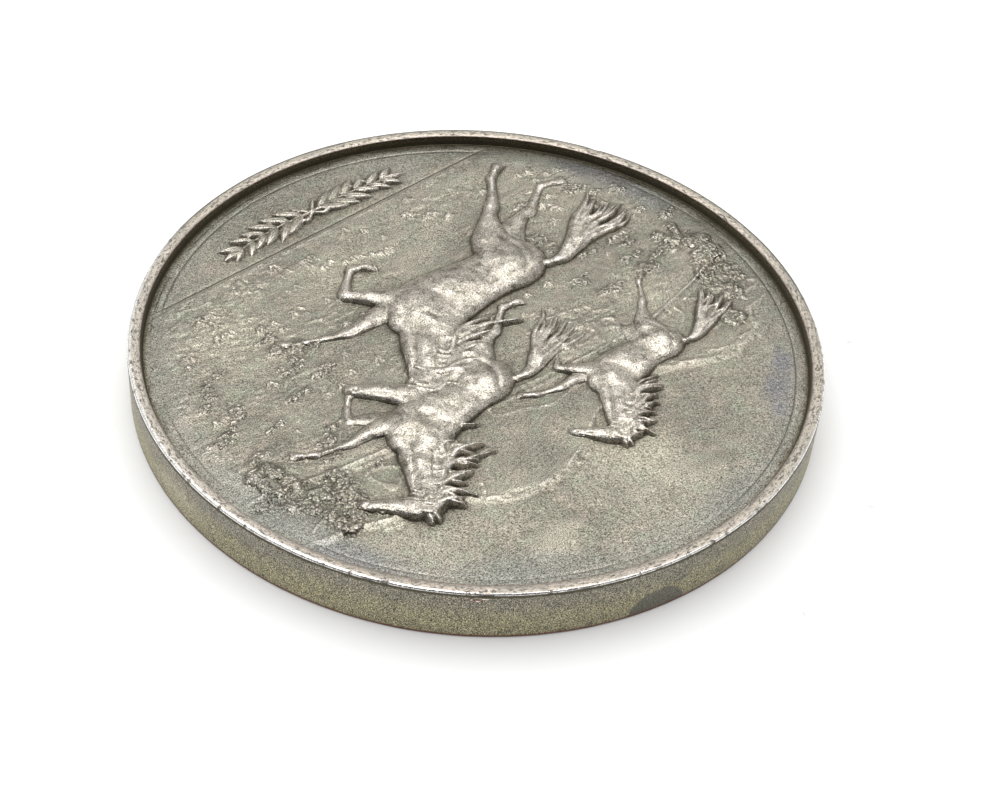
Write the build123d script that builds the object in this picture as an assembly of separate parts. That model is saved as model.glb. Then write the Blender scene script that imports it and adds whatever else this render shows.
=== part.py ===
"""A struck prize medallion: a thick round blank with raised rims, lying face up.

The obverse carries three galloping horses over a meadow with hills, trees and clouds, and a
laurel sprig in the exergue, the segment below the ground line. The reverse is a plain field.
The part stands on the middle of its reverse rim, +Z up, +Y towards the top of the picture.
"""
from build123d import *
from collections import namedtuple
import math
import os

# Blank, in millimetres
diameter = 51.0
thickness = 4.3
rim_width = 0.91
rim_slope = 0.08
wall_run = 0.14
obverse_depth = 0.85
reverse_depth = 0.60
edge_chamfer = 0.12

# Fine line struck round the picture, and the exergue below it
border_inset = 0.95
border_width = 0.26
border_depth = 0.06
exergue_height = 7.45
line_width = 0.40
line_rise = 0.13

# Picture
relief_height = 0.80
ground_rise = 0.10
hill_rise = 0.17
leaf_rise = 0.30
root_depth = 0.20

radius = diameter / 2
rim_inner = radius - rim_width
field_radius = rim_inner - wall_run
field_level = thickness - obverse_depth
picture_radius = field_radius - border_inset
exergue_line = exergue_height - field_radius

# A figure is drawn to its own length: along and up from its middle, and half its breadth there
Joint = namedtuple("Joint", "along up half")

TRUNK = [
    Joint(-0.500, 0.060, 0.080),
    Joint(-0.440, 0.070, 0.130),
    Joint(-0.330, 0.085, 0.185),
    Joint(-0.180, 0.070, 0.178),
    Joint(0.000, 0.050, 0.192),
    Joint(0.180, 0.040, 0.215),
    Joint(0.300, 0.045, 0.200),
    Joint(0.400, 0.060, 0.135),
    Joint(0.440, 0.060, 0.080),
]
NECK = [
    Joint(0.230, 0.080, 0.180),
    Joint(0.420, 0.210, 0.160),
    Joint(0.560, 0.340, 0.122),
    Joint(0.680, 0.455, 0.094),
    Joint(0.800, 0.550, 0.060),
]
HEAD = [
    Joint(0.770, 0.565, 0.040),
    Joint(0.810, 0.475, 0.086),
    Joint(0.860, 0.410, 0.072),
    Joint(0.925, 0.335, 0.052),
    Joint(0.985, 0.265, 0.045),
    Joint(1.015, 0.225, 0.026),
]
EARS = [
    [Joint(0.772, 0.560, 0.020), Joint(0.778, 0.605, 0.022), Joint(0.794, 0.655, 0.004)],
    [Joint(0.805, 0.550, 0.018), Joint(0.815, 0.595, 0.019), Joint(0.838, 0.635, 0.004)],
]
# Each leg is an upper bar, a lower bar from the knee or hock, and a hoof
LEGS = {
    "fore_stretched": [
        [
            Joint(0.300, 0.020, 0.120),
            Joint(0.380, -0.060, 0.095),
            Joint(0.530, -0.085, 0.066),
            Joint(0.670, -0.085, 0.041),
            Joint(0.715, -0.088, 0.043),
        ],
        [
            Joint(0.690, -0.088, 0.040),
            Joint(0.740, -0.100, 0.034),
            Joint(0.820, -0.130, 0.024),
            Joint(0.905, -0.165, 0.023),
            Joint(0.940, -0.180, 0.031),
            Joint(0.985, -0.205, 0.024),
        ],
        [Joint(0.980, -0.200, 0.026), Joint(1.045, -0.245, 0.042)],
    ],
    "fore_reaching": [
        [
            Joint(0.300, 0.020, 0.120),
            Joint(0.360, -0.080, 0.095),
            Joint(0.500, -0.135, 0.066),
            Joint(0.630, -0.155, 0.041),
            Joint(0.675, -0.160, 0.043),
        ],
        [
            Joint(0.650, -0.160, 0.040),
            Joint(0.700, -0.172, 0.034),
            Joint(0.770, -0.200, 0.024),
            Joint(0.850, -0.235, 0.023),
            Joint(0.885, -0.250, 0.031),
            Joint(0.925, -0.285, 0.024),
        ],
        [Joint(0.920, -0.280, 0.026), Joint(0.975, -0.335, 0.042)],
    ],
    "fore_folded": [
        [
            Joint(0.280, 0.020, 0.120),
            Joint(0.330, -0.090, 0.095),
            Joint(0.420, -0.200, 0.066),
            Joint(0.505, -0.285, 0.043),
            Joint(0.540, -0.320, 0.036),
        ],
        [
            Joint(0.545, -0.318, 0.036),
            Joint(0.505, -0.345, 0.034),
            Joint(0.445, -0.395, 0.024),
            Joint(0.385, -0.440, 0.023),
            Joint(0.355, -0.458, 0.030),
        ],
        [Joint(0.360, -0.455, 0.028), Joint(0.320, -0.440, 0.024), Joint(0.255, -0.405, 0.042)],
    ],
    "hind_driving": [
        [
            Joint(-0.330, 0.050, 0.165),
            Joint(-0.380, -0.100, 0.125),
            Joint(-0.470, -0.220, 0.070),
            Joint(-0.560, -0.305, 0.041),
            Joint(-0.612, -0.340, 0.046),
        ],
        [
            Joint(-0.590, -0.325, 0.044),
            Joint(-0.645, -0.365, 0.034),
            Joint(-0.715, -0.435, 0.025),
            Joint(-0.775, -0.500, 0.024),
            Joint(-0.800, -0.525, 0.032),
            Joint(-0.845, -0.545, 0.025),
        ],
        [Joint(-0.838, -0.543, 0.027), Joint(-0.915, -0.570, 0.042)],
    ],
    "hind_trailing": [
        [
            Joint(-0.340, 0.060, 0.165),
            Joint(-0.420, -0.050, 0.125),
            Joint(-0.560, -0.125, 0.070),
            Joint(-0.680, -0.165, 0.041),
            Joint(-0.737, -0.172, 0.046),
        ],
        [
            Joint(-0.712, -0.168, 0.044),
            Joint(-0.775, -0.190, 0.034),
            Joint(-0.860, -0.235, 0.025),
            Joint(-0.940, -0.275, 0.024),
            Joint(-0.970, -0.285, 0.032),
            Joint(-1.015, -0.270, 0.025),
        ],
        [Joint(-1.008, -0.273, 0.027), Joint(-1.085, -0.250, 0.042)],
    ],
    "hind_gathered": [
        [
            Joint(-0.310, 0.030, 0.165),
            Joint(-0.260, -0.120, 0.125),
            Joint(-0.220, -0.240, 0.070),
            Joint(-0.250, -0.350, 0.041),
            Joint(-0.268, -0.400, 0.044),
        ],
        [
            Joint(-0.276, -0.385, 0.040),
            Joint(-0.235, -0.430, 0.034),
            Joint(-0.150, -0.480, 0.025),
            Joint(-0.065, -0.520, 0.024),
            Joint(-0.030, -0.535, 0.032),
            Joint(0.010, -0.560, 0.025),
        ],
        [Joint(0.004, -0.556, 0.027), Joint(0.058, -0.605, 0.042)],
    ],
}

# Horses, farthest first: place and length as shares of the field radius, tilt in degrees,
# height as a share of the relief height, then the pose of the far and near legs
Horse = namedtuple("Horse", "across up length tilt height far_fore near_fore far_hind near_hind")
HORSES = [
    Horse(-0.300, 0.345, 0.370, 6, 0.62,
          "fore_reaching", "fore_folded", "hind_gathered", "hind_driving"),
    Horse(0.270, 0.135, 0.465, 8, 0.80,
          "fore_folded", "fore_reaching", "hind_driving", "hind_trailing"),
    Horse(-0.130, -0.235, 0.580, 3, 1.00,
          "fore_stretched", "fore_folded", "hind_trailing", "hind_driving"),
]

# Skylines, as shares of the picture radius across and up, left to right
Spot = namedtuple("Spot", "across up")
MEADOW_LINE = [Spot(-1.0, 0.20), Spot(-0.45, 0.30), Spot(0.10, 0.26), Spot(0.60, 0.20),
               Spot(1.0, 0.12)]
HILL_LINE = [Spot(-1.0, 0.42), Spot(-0.62, 0.56), Spot(-0.20, 0.44), Spot(0.22, 0.60),
             Spot(0.62, 0.46), Spot(1.0, 0.34)]

# Round crowns of trees and clouds: place and size as shares of the picture radius
Crown = namedtuple("Crown", "across up size")
TREES = [
    Crown(0.760, 0.250, 0.085),
    Crown(0.850, 0.190, 0.080),
    Crown(0.815, 0.320, 0.070),
    Crown(0.890, 0.070, 0.065),
    Crown(0.700, 0.345, 0.050),
    Crown(-0.840, 0.240, 0.080),
    Crown(-0.885, 0.130, 0.070),
    Crown(-0.790, 0.345, 0.070),
    Crown(-0.860, 0.020, 0.055),
    Crown(-0.720, 0.430, 0.048),
]
CLOUDS = [
    Crown(-0.280, 0.800, 0.075),
    Crown(-0.180, 0.825, 0.095),
    Crown(-0.070, 0.800, 0.075),
    Crown(0.020, 0.790, 0.050),
    Crown(0.330, 0.740, 0.060),
    Crown(0.410, 0.755, 0.070),
    Crown(0.490, 0.725, 0.050),
]

sprig_length = 8.6
leaf_length = 2.5
leaf_pairs = 5


def placed(figure, joint):
    """Point of the field under a joint of a figure."""
    c = math.cos(math.radians(figure.tilt))
    s = math.sin(math.radians(figure.tilt))
    length = figure.length * field_radius
    x = figure.across * field_radius + length * (joint.along * c - joint.up * s)
    y = figure.up * field_radius + length * (joint.along * s + joint.up * c)
    return x, y


def flat(points):
    """Flat face through the points."""
    return Face(Wire(Polyline(*points, close=True).edges()))


# Sections of a bar: across as a share of its half breadth, up as a share of its crest
ROUNDED = [(-1, 0), (-0.93, 0.45), (-0.45, 0.92), (0.45, 0.92), (0.93, 0.45), (1, 0)]
BEVELLED = [(-1, 0), (-0.70, 0.88), (0.70, 0.88), (1, 0)]
ROOFED = [(-1, 0), (0, 1), (1, 0)]


def bar(spots, halves, crests, level, arch):
    """Closed bar of flat facets over a bent line, rooted below its level."""
    rings = []
    for i, (x, y) in enumerate(spots):
        before = spots[max(i - 1, 0)]
        after = spots[min(i + 1, len(spots) - 1)]
        run = math.hypot(after[0] - before[0], after[1] - before[1])
        across = (-(after[1] - before[1]) / run, (after[0] - before[0]) / run)
        ring = []
        for share, height in arch:
            reach = share * halves[i]
            z = level + height * crests[i] if height else level - root_depth
            ring.append((x + across[0] * reach, y + across[1] * reach, z))
        rings.append(ring)
    faces = [flat(rings[0]), flat(rings[-1])]
    for ring, following in zip(rings, rings[1:]):
        for k in range(len(ring)):
            m = (k + 1) % len(ring)
            faces.append(flat([ring[k], ring[m], following[m]]))
            faces.append(flat([ring[k], following[m], following[k]]))
    return Solid(Shell(faces))


def limb(figure, joints, rise, crest, arch=ROUNDED):
    """Part of a figure; it stands higher where it is broader."""
    length = figure.length * field_radius
    height = figure.height * relief_height
    spots = [placed(figure, joint) for joint in joints]
    halves = [joint.half * length for joint in joints]
    crests = [crest * height * math.sqrt(joint.half / 0.2) for joint in joints]
    return bar(spots, halves, crests, field_level + rise * height, arch)


def mane(figure):
    """Locks that stream back from the crest of the neck."""
    locks = []
    count = 6
    for k in range(count):
        share = k / (count - 1)
        root = Joint(0.375 + 0.385 * share, 0.325 + 0.245 * share, 0.030)
        turn = math.radians(172 - 20 * share)
        reach = 0.32 - 0.09 * share
        bend = Joint(root.along + 0.5 * reach * math.cos(turn + 0.35),
                     root.up + 0.5 * reach * math.sin(turn + 0.35), 0.034)
        tip = Joint(bend.along + 0.5 * reach * math.cos(turn - 0.25),
                    bend.up + 0.5 * reach * math.sin(turn - 0.25), 0.006)
        start = Joint(root.along + 0.06, root.up - 0.08, 0.014)
        rise = 0.50 + 0.05 * (k % 2)
        locks.append(limb(figure, [start, root, bend, tip], rise, 0.80, ROOFED))
    return locks


def tail(figure):
    """Locks that fan out behind the rump."""
    locks = []
    count = 5
    for k in range(count):
        share = k / (count - 1)
        joints = [
            Joint(-0.460, 0.190, 0.035),
            Joint(-0.590, 0.250 - 0.030 * share, 0.036),
            Joint(-0.740, 0.245 - 0.110 * share, 0.038),
            Joint(-0.910, 0.235 - 0.210 * share, 0.032),
            Joint(-1.040, 0.250 - 0.270 * share, 0.024),
            Joint(-1.150, 0.225 - 0.280 * share, 0.005),
        ]
        locks.append(limb(figure, joints, 0.16 + 0.05 * (k % 2), 1.00, ROOFED))
    return locks


def leg(figure, name, rise, crest, arch):
    """Upper bar, lower bar and hoof of one leg."""
    upper, lower, hoof = LEGS[name]
    return [
        limb(figure, upper, rise, crest, arch),
        limb(figure, lower, rise, crest, BEVELLED),
        limb(figure, hoof, rise, crest, BEVELLED),
    ]


def horse(figure):
    """All bars of one galloping horse, far legs lowest."""
    bars = []
    for name in (figure.far_fore, figure.far_hind):
        bars += leg(figure, name, 0.06, 0.55, BEVELLED)
    bars += tail(figure)
    for joints in (TRUNK, NECK):
        bars.append(limb(figure, joints, 0.14, 0.80))
    bars.append(limb(figure, HEAD, 0.20, 0.92))
    for name in (figure.near_fore, figure.near_hind):
        bars += leg(figure, name, 0.14, 0.90, ROUNDED)
    for joints in EARS:
        bars.append(limb(figure, joints, 0.40, 1.00, ROOFED))
    bars += mane(figure)
    return bars


def ridge(line, rise):
    """Low slab from the ground line up to a skyline, inside the border."""
    disc = Circle(picture_radius - border_width)
    top = [(spot.across * picture_radius, spot.up * picture_radius) for spot in line]
    foot = [(top[-1][0], exergue_line), (top[0][0], exergue_line)]
    skyline = Spline(*top)
    sides = Polyline(top[-1], *foot, top[0])
    land = make_face(Curve() + [skyline, sides]) & disc
    slab = extrude(land, root_depth + rise)
    return Pos(0, 0, field_level - root_depth) * slab


def crowns(table, rise):
    """Clump of round crowns as one low slab."""
    clump = Sketch()
    for crown in table:
        spot = Pos(crown.across * picture_radius, crown.up * picture_radius)
        clump += spot * Circle(crown.size * picture_radius)
    slab = extrude(clump, root_depth + rise)
    return Pos(0, 0, field_level - root_depth) * slab


def sprig(side):
    """Half of the laurel sprig: a bowed stem with leaves in pairs, running out to one side."""
    bars = []
    middle = exergue_line - 0.36 * (exergue_height - border_inset)

    def stem(share):
        x = side * (share * sprig_length - 0.8)
        y = middle - 0.9 * math.sin(1.2 * share) + 1.1 * share * share
        return x, y

    spots = [stem(k / 6) for k in range(7)]
    bars.append(bar(spots, [0.14] * 7, [0.5 * leaf_rise] * 7, field_level, ROOFED))
    for k in range(leaf_pairs):
        share = (k + 1.2) / (leaf_pairs + 0.6)
        x, y = stem(share)
        ahead = stem(share + 0.05)
        heading = math.atan2(ahead[1] - y, ahead[0] - x)
        for turn in (0.62, -0.62):
            angle = heading + turn
            size = leaf_length * (1 - 0.28 * share)
            stations = [0.02, 0.3, 0.55, 0.8, 1.0]
            breadths = [0.03, 0.15, 0.18, 0.12, 0.02]
            leaf = [(x + size * s * math.cos(angle), y + size * s * math.sin(angle))
                    for s in stations]
            halves = [breadth * size for breadth in breadths]
            crests = [leaf_rise * (0.4 + 3 * breadth) for breadth in breadths]
            bars.append(bar(leaf, halves, crests, field_level, ROOFED))
    return bars


# Outline of half the blank, from the middle of the reverse round to the middle of the obverse
reverse_field = rim_inner - wall_run
groove = picture_radius
profile = Polyline(
    (0, reverse_depth),
    (reverse_field, reverse_depth),
    (rim_inner, 0),
    (radius - edge_chamfer, 0),
    (radius, edge_chamfer),
    (radius, thickness - edge_chamfer),
    (radius - edge_chamfer, thickness - rim_slope / 4),
    (radius - 0.6 * rim_width, thickness),
    (rim_inner, thickness - rim_slope),
    (field_radius, field_level),
    (groove + border_width / 2, field_level),
    (groove, field_level - border_depth),
    (groove - border_width / 2, field_level),
    (0, field_level),
    close=True,
)
blank = revolve(Plane.XZ * make_face(profile), Axis.Z)

raised = [ridge(HILL_LINE, ground_rise), ridge(MEADOW_LINE, hill_rise)]
line_reach = math.sqrt(picture_radius ** 2 - exergue_line ** 2) - border_width
ends = [(-line_reach, exergue_line), (line_reach, exergue_line)]
raised.append(bar(ends, [line_width / 2] * 2, [line_rise] * 2, field_level, BEVELLED))
raised.append(crowns(TREES, hill_rise + 0.12))
raised.append(crowns(CLOUDS, ground_rise))
for figure in HORSES:
    raised += horse(figure)
for side in (-1, 1):
    raised += sprig(side)

medal = (blank + raised).solids()[0]
medal.label = "medal"

os.makedirs("parts", exist_ok=True)
export_step(medal, "parts/medal.step")
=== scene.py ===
"""A struck silver prize medal lying face up on a pale table.

The rim, edge and reverse are turned from a profile. The obverse is a height map: three galloping
horses over a meadow, with hills, trees and clouds behind them and a laurel sprig in the exergue,
the segment below the ground line. The two are joined into one closed mesh.
Heights and places inside the picture are in millimetres, all finished lengths in metres.
"""

import math
from collections import namedtuple

import bmesh
import bpy
import numpy as np
from mathutils import Matrix, Vector


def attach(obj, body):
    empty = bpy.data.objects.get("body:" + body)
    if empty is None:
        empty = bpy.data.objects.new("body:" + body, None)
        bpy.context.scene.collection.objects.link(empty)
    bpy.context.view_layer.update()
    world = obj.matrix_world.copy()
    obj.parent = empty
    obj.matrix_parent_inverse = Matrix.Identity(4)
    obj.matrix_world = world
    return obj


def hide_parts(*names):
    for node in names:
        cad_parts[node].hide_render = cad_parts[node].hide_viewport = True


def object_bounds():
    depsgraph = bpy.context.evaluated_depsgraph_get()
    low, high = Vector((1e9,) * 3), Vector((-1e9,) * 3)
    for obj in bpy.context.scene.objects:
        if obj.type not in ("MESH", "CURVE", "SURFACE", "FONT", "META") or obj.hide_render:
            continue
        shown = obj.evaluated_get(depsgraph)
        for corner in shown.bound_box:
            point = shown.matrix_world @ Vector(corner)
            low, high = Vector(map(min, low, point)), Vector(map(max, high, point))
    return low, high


bl_info = {
    "name": "Struck Medal",
    "version": (1, 0, 0),
    "blender": (4, 5, 0),
    "location": "View3D > Sidebar > Medal",
    "description": "Builds a struck silver medal with a relief obverse, its toning and its table",
    "category": "Object",
}

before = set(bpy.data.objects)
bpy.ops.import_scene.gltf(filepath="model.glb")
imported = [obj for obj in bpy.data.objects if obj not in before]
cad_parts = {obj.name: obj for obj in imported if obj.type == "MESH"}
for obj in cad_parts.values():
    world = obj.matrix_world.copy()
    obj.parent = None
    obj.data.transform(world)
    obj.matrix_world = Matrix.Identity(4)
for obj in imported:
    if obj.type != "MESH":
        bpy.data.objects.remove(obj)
CAD_LOW, CAD_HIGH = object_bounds()
MM = 0.001


# Sizes and colours


def length(name, default, description):
    return bpy.props.FloatProperty(
        name=name, description=description, default=default, min=0.0, precision=6,
        subtype="DISTANCE", unit="LENGTH")


def colour(name, default, description):
    return bpy.props.FloatVectorProperty(
        name=name, description=description, default=default, size=3, min=0.0, max=1.0,
        subtype="COLOR")


class MedalSizes(bpy.types.PropertyGroup):
    diameter: length("Diameter", CAD_HIGH.x - CAD_LOW.x, "Diameter over the edge")
    thickness: length("Thickness", CAD_HIGH.z - CAD_LOW.z, "Height from rim to rim")
    rim_width: length("Rim width", 0.91 * MM, "Width of the rim's top")
    wall_run: length("Wall run", 0.14 * MM, "How far the rim's inner wall leans in")
    obverse_depth: length("Obverse depth", 0.85 * MM, "Depth of the picture's field below the rim")
    reverse_depth: length("Reverse depth", 0.60 * MM, "Depth of the reverse field below its rim")
    border_inset: length("Border inset", 0.95 * MM, "From the wall's foot to the border line")
    exergue_height: length("Exergue height", 7.45 * MM, "Height of the segment under the picture")
    relief_height: length("Relief height", 0.80 * MM, "Highest point of the nearest horse")
    map_step: length("Map step", 0.045 * MM, "Spacing of the height map's points")
    segments: bpy.props.IntProperty(
        name="Segments", description="Divisions round the rim", default=540, min=90)
    picture_triangles: bpy.props.IntProperty(
        name="Picture triangles", description="Triangles kept in the obverse picture",
        default=150000, min=10000)
    edge_wear: length("Edge wear", 0.03 * MM, "How far wear has taken the rim's corners back")
    seed: bpy.props.IntProperty(name="Seed", description="Pattern of wear and scenery", default=7)


class MedalColours(bpy.types.PropertyGroup):
    # Worn high points, and also a painted highlight on the left of the rim's top
    silver: colour("Worn silver", (0.84, 0.770, 0.685), "Bright silver on the high points")
    field: colour("Toned field", (0.412, 0.387, 0.314), "Grey-olive toning of the open field")
    # Tarnish in the hollows, and also painted shade at the foot of the rim's inner wall
    recess: colour("Dark recess", (0.085, 0.076, 0.054), "Tarnish left in the recesses")
    rim: colour("Rim", (0.650, 0.585, 0.490), "Rubbed rim, a little pink")
    edge: colour("Edge", (0.310, 0.288, 0.192), "Olive edge")
    bronze: colour("Bronze grey", (0.235, 0.218, 0.172), "Browner grey in the upper part of the edge")
    umber: colour("Umber", (0.175, 0.072, 0.050), "Red-brown line at the bottom of the edge")
    violet: colour("Violet toning", (0.250, 0.245, 0.260), "Patches of violet tarnish")
    cool: colour("Cool toning", (0.275, 0.275, 0.250), "Blue-grey tarnish beside the rim")
    straw: colour("Straw toning", (0.60, 0.562, 0.445), "Warm bright patches of thin tarnish")
    moss: colour("Moss", (0.355, 0.375, 0.290), "Greenish tint in the field")
    clay: colour("Clay", (0.455, 0.395, 0.325), "Brownish tint in the field")
    # Colour of painted shade on the rim's inner wall and on the field beside it
    wall_shade: colour("Grime", (0.150, 0.130, 0.088), "Old dirt on the inner wall of the rim")
    blush: colour("Blush", (0.500, 0.395, 0.350), "Inner corner of the rim")
    # Real dark stains, and also painted shade on the far side of the rim's outer corner
    stain_and_shade: colour("Stain", (0.150, 0.145, 0.122), "Dark stains on the edge")


class StageSettings(bpy.types.PropertyGroup):
    floor: colour("Floor", (0.86, 0.86, 0.855), "White table")
    daylight: bpy.props.FloatProperty(
        name="Daylight", description="Brightness that the table receives", default=1.58)
    lean: bpy.props.FloatVectorProperty(
        name="Lean", description="Share of the daylight that comes from the left and the front",
        size=2, default=(0.30, -0.65))
    surround: bpy.props.FloatProperty(
        name="Surround", description="Brightness that the silver mirrors", default=0.58)
    ceiling: bpy.props.FloatProperty(
        name="Ceiling", description="Extra brightness overhead that the silver mirrors",
        default=2.2)
    shade: bpy.props.FloatProperty(
        name="Shade", description="How dark the front is that the silver mirrors", default=0.90)
    lens: bpy.props.FloatProperty(
        name="Lens", description="Focal length on a 36 mm wide sensor", default=0.07029,
        subtype="DISTANCE_CAMERA", unit="CAMERA")
    camera_place: bpy.props.FloatVectorProperty(
        name="Camera place", description="Where the camera stands", size=3,
        default=(77.23 * MM, 75.73 * MM, 98.744 * MM), subtype="XYZ", unit="LENGTH")
    camera_aim: bpy.props.FloatVectorProperty(
        name="Camera aim", description="The point at the middle of the view", size=3,
        default=(0.439 * MM, 3.117 * MM, 0.0), subtype="XYZ", unit="LENGTH")
    camera_roll: bpy.props.FloatProperty(
        name="Camera roll", description="Turn of the camera about its own axis",
        default=math.radians(4.973), subtype="ANGLE", unit="ROTATION")


# Tables of the picture. A figure is drawn to its own length: places from its middle, head right.

# along, up and half-breadth of each joint
TRUNK = [(-0.44, 0.07, 0.10), (-0.33, 0.085, 0.185), (-0.18, 0.07, 0.178), (0.00, 0.05, 0.192),
         (0.18, 0.04, 0.215), (0.30, 0.045, 0.20), (0.40, 0.06, 0.135)]
NECK = [(0.23, 0.08, 0.18), (0.42, 0.21, 0.16), (0.56, 0.34, 0.122), (0.68, 0.455, 0.094),
        (0.765, 0.515, 0.078)]
HEAD = [(0.775, 0.53, 0.060), (0.81, 0.475, 0.088), (0.86, 0.41, 0.073), (0.925, 0.335, 0.052),
        (0.985, 0.265, 0.044), (1.005, 0.235, 0.040)]
NEAR_EAR = [(0.775, 0.575, 0.020), (0.778, 0.61, 0.021), (0.795, 0.655, 0.003)]
FAR_EAR = [(0.805, 0.565, 0.018), (0.815, 0.60, 0.018), (0.838, 0.635, 0.003)]

Leg = namedtuple("Leg", "joints hoof")
LEGS = {
    "fore_stretched": Leg(
        [(0.30, 0.02, 0.12), (0.38, -0.06, 0.095), (0.53, -0.085, 0.066), (0.67, -0.085, 0.041),
         (0.705, -0.088, 0.043), (0.74, -0.10, 0.034), (0.82, -0.13, 0.0225),
         (0.905, -0.165, 0.022), (0.94, -0.18, 0.030), (0.985, -0.205, 0.023)],
        (1.005, -0.22, -36)),
    "fore_reaching": Leg(
        [(0.30, 0.02, 0.12), (0.36, -0.08, 0.095), (0.50, -0.135, 0.066), (0.63, -0.155, 0.040),
         (0.665, -0.16, 0.043), (0.70, -0.172, 0.034), (0.77, -0.20, 0.0225),
         (0.85, -0.235, 0.022), (0.885, -0.25, 0.030), (0.925, -0.285, 0.023)],
        (0.945, -0.305, -42)),
    "fore_folded": Leg(
        [(0.28, 0.02, 0.12), (0.33, -0.09, 0.095), (0.42, -0.20, 0.066), (0.505, -0.285, 0.042),
         (0.525, -0.315, 0.044), (0.505, -0.345, 0.034), (0.445, -0.395, 0.0225),
         (0.385, -0.44, 0.022), (0.36, -0.455, 0.030), (0.32, -0.44, 0.023)],
        (0.300, -0.425, 150)),
    "hind_driving": Leg(
        [(-0.33, 0.05, 0.17), (-0.38, -0.10, 0.125), (-0.47, -0.22, 0.070),
         (-0.56, -0.305, 0.040), (-0.605, -0.335, 0.046), (-0.645, -0.365, 0.034),
         (-0.715, -0.435, 0.0245), (-0.775, -0.50, 0.0235), (-0.80, -0.525, 0.032),
         (-0.845, -0.545, 0.024)],
        (-0.865, -0.555, 205)),
    "hind_trailing": Leg(
        [(-0.34, 0.06, 0.17), (-0.42, -0.05, 0.125), (-0.56, -0.125, 0.070),
         (-0.68, -0.165, 0.040), (-0.73, -0.17, 0.046), (-0.775, -0.19, 0.034),
         (-0.86, -0.235, 0.0245), (-0.94, -0.275, 0.0235), (-0.97, -0.285, 0.032),
         (-1.015, -0.27, 0.024)],
        (-1.04, -0.26, 160)),
    "hind_gathered": Leg(
        [(-0.31, 0.03, 0.17), (-0.26, -0.12, 0.125), (-0.22, -0.24, 0.070),
         (-0.25, -0.35, 0.040), (-0.265, -0.395, 0.046), (-0.235, -0.43, 0.034),
         (-0.15, -0.48, 0.0245), (-0.065, -0.52, 0.0235), (-0.03, -0.535, 0.032),
         (0.01, -0.56, 0.024)],
        (0.03, -0.575, -40)),
}

# Swellings of the muscles: place, reach along and up, turn in degrees, rise as a share of height
Muscle = namedtuple("Muscle", "along up long broad turn rise")
MUSCLES = [
    Muscle(0.30, 0.02, 0.11, 0.15, -25, 0.26), Muscle(0.33, 0.14, 0.07, 0.10, -20, 0.12),
    Muscle(-0.34, 0.09, 0.14, 0.12, 25, 0.24), Muscle(-0.25, -0.02, 0.07, 0.10, 40, 0.10),
    Muscle(0.04, 0.00, 0.17, 0.10, 0, 0.14), Muscle(0.55, 0.27, 0.12, 0.045, 42, 0.10),
]

# Engraved lines between them: path, breadth, depth as a share of height, softness of one side
Crease = namedtuple("Crease", "path breadth depth soft")
CREASES = [
    Crease([(0.20, 0.25), (0.165, 0.12), (0.19, 0.00), (0.27, -0.10)], 0.040, 0.15, 1.2),
    Crease([(0.36, 0.18), (0.43, 0.07), (0.42, -0.02)], 0.028, 0.14, 0.5),
    Crease([(0.27, 0.20), (0.33, 0.09), (0.30, -0.05)], 0.015, 0.08, 0.6),
    Crease([(-0.17, 0.17), (-0.145, 0.04), (-0.19, -0.08), (-0.28, -0.13)], 0.045, 0.15, 1.0),
    Crease([(-0.30, 0.22), (-0.41, 0.10), (-0.43, -0.04), (-0.41, -0.14)], 0.020, 0.14, 0.0),
    Crease([(-0.24, 0.14), (-0.29, 0.00), (-0.36, -0.10)], 0.014, 0.07, 0.6),
    Crease([(0.12, -0.13), (-0.02, -0.115), (-0.16, -0.075)], 0.022, 0.10, 1.0),
    Crease([(0.40, 0.08), (0.53, 0.21), (0.66, 0.35), (0.74, 0.42)], 0.022, 0.16, 0.5),
    Crease([(0.34, 0.22), (0.47, 0.33), (0.60, 0.45)], 0.014, 0.07, 0.0),
    Crease([(0.745, 0.475), (0.79, 0.405), (0.845, 0.375)], 0.010, 0.13, 0.0),
    Crease([(0.86, 0.45), (0.91, 0.385), (0.965, 0.32)], 0.008, 0.07, 0.0),
]
MOUTH = Crease([(0.915, 0.265), (0.95, 0.235), (0.985, 0.212)], 0.007, 0.16, 0.0)
RIBS = 4
TAIL_LOCKS = 15
MANE_LOCKS = 30
CLOUD_PUFFS = 6
CROWNS_PER_TREE = 5
BUSH_GROUPS = 40
TUFT_GROUPS = 95

# Horses, farthest first: place and length as shares of the field radius, tilt in degrees, foot and
# height as shares of the relief height, then the legs of the far and near side
Horse = namedtuple("Horse", "across up length tilt foot height far_fore near_fore far_hind near_hind")
HORSES = [
    Horse(-0.300, 0.345, 0.370, 6, 0.12, 0.62,
          "fore_reaching", "fore_folded", "hind_gathered", "hind_driving"),
    Horse(0.270, 0.135, 0.465, 8, 0.14, 0.76,
          "fore_folded", "fore_reaching", "hind_driving", "hind_trailing"),
    Horse(-0.130, -0.235, 0.580, 3, 0.16, 0.92,
          "fore_stretched", "fore_folded", "hind_trailing", "hind_driving"),
]

# Skylines: across and up as shares of the picture radius
HILL_LINE = [(-1.0, 0.42), (-0.62, 0.56), (-0.20, 0.44), (0.22, 0.60), (0.62, 0.46), (1.0, 0.34)]
MEADOW_LINE = [(-1.0, 0.20), (-0.45, 0.30), (0.10, 0.26), (0.60, 0.20), (1.0, 0.12)]

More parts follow.
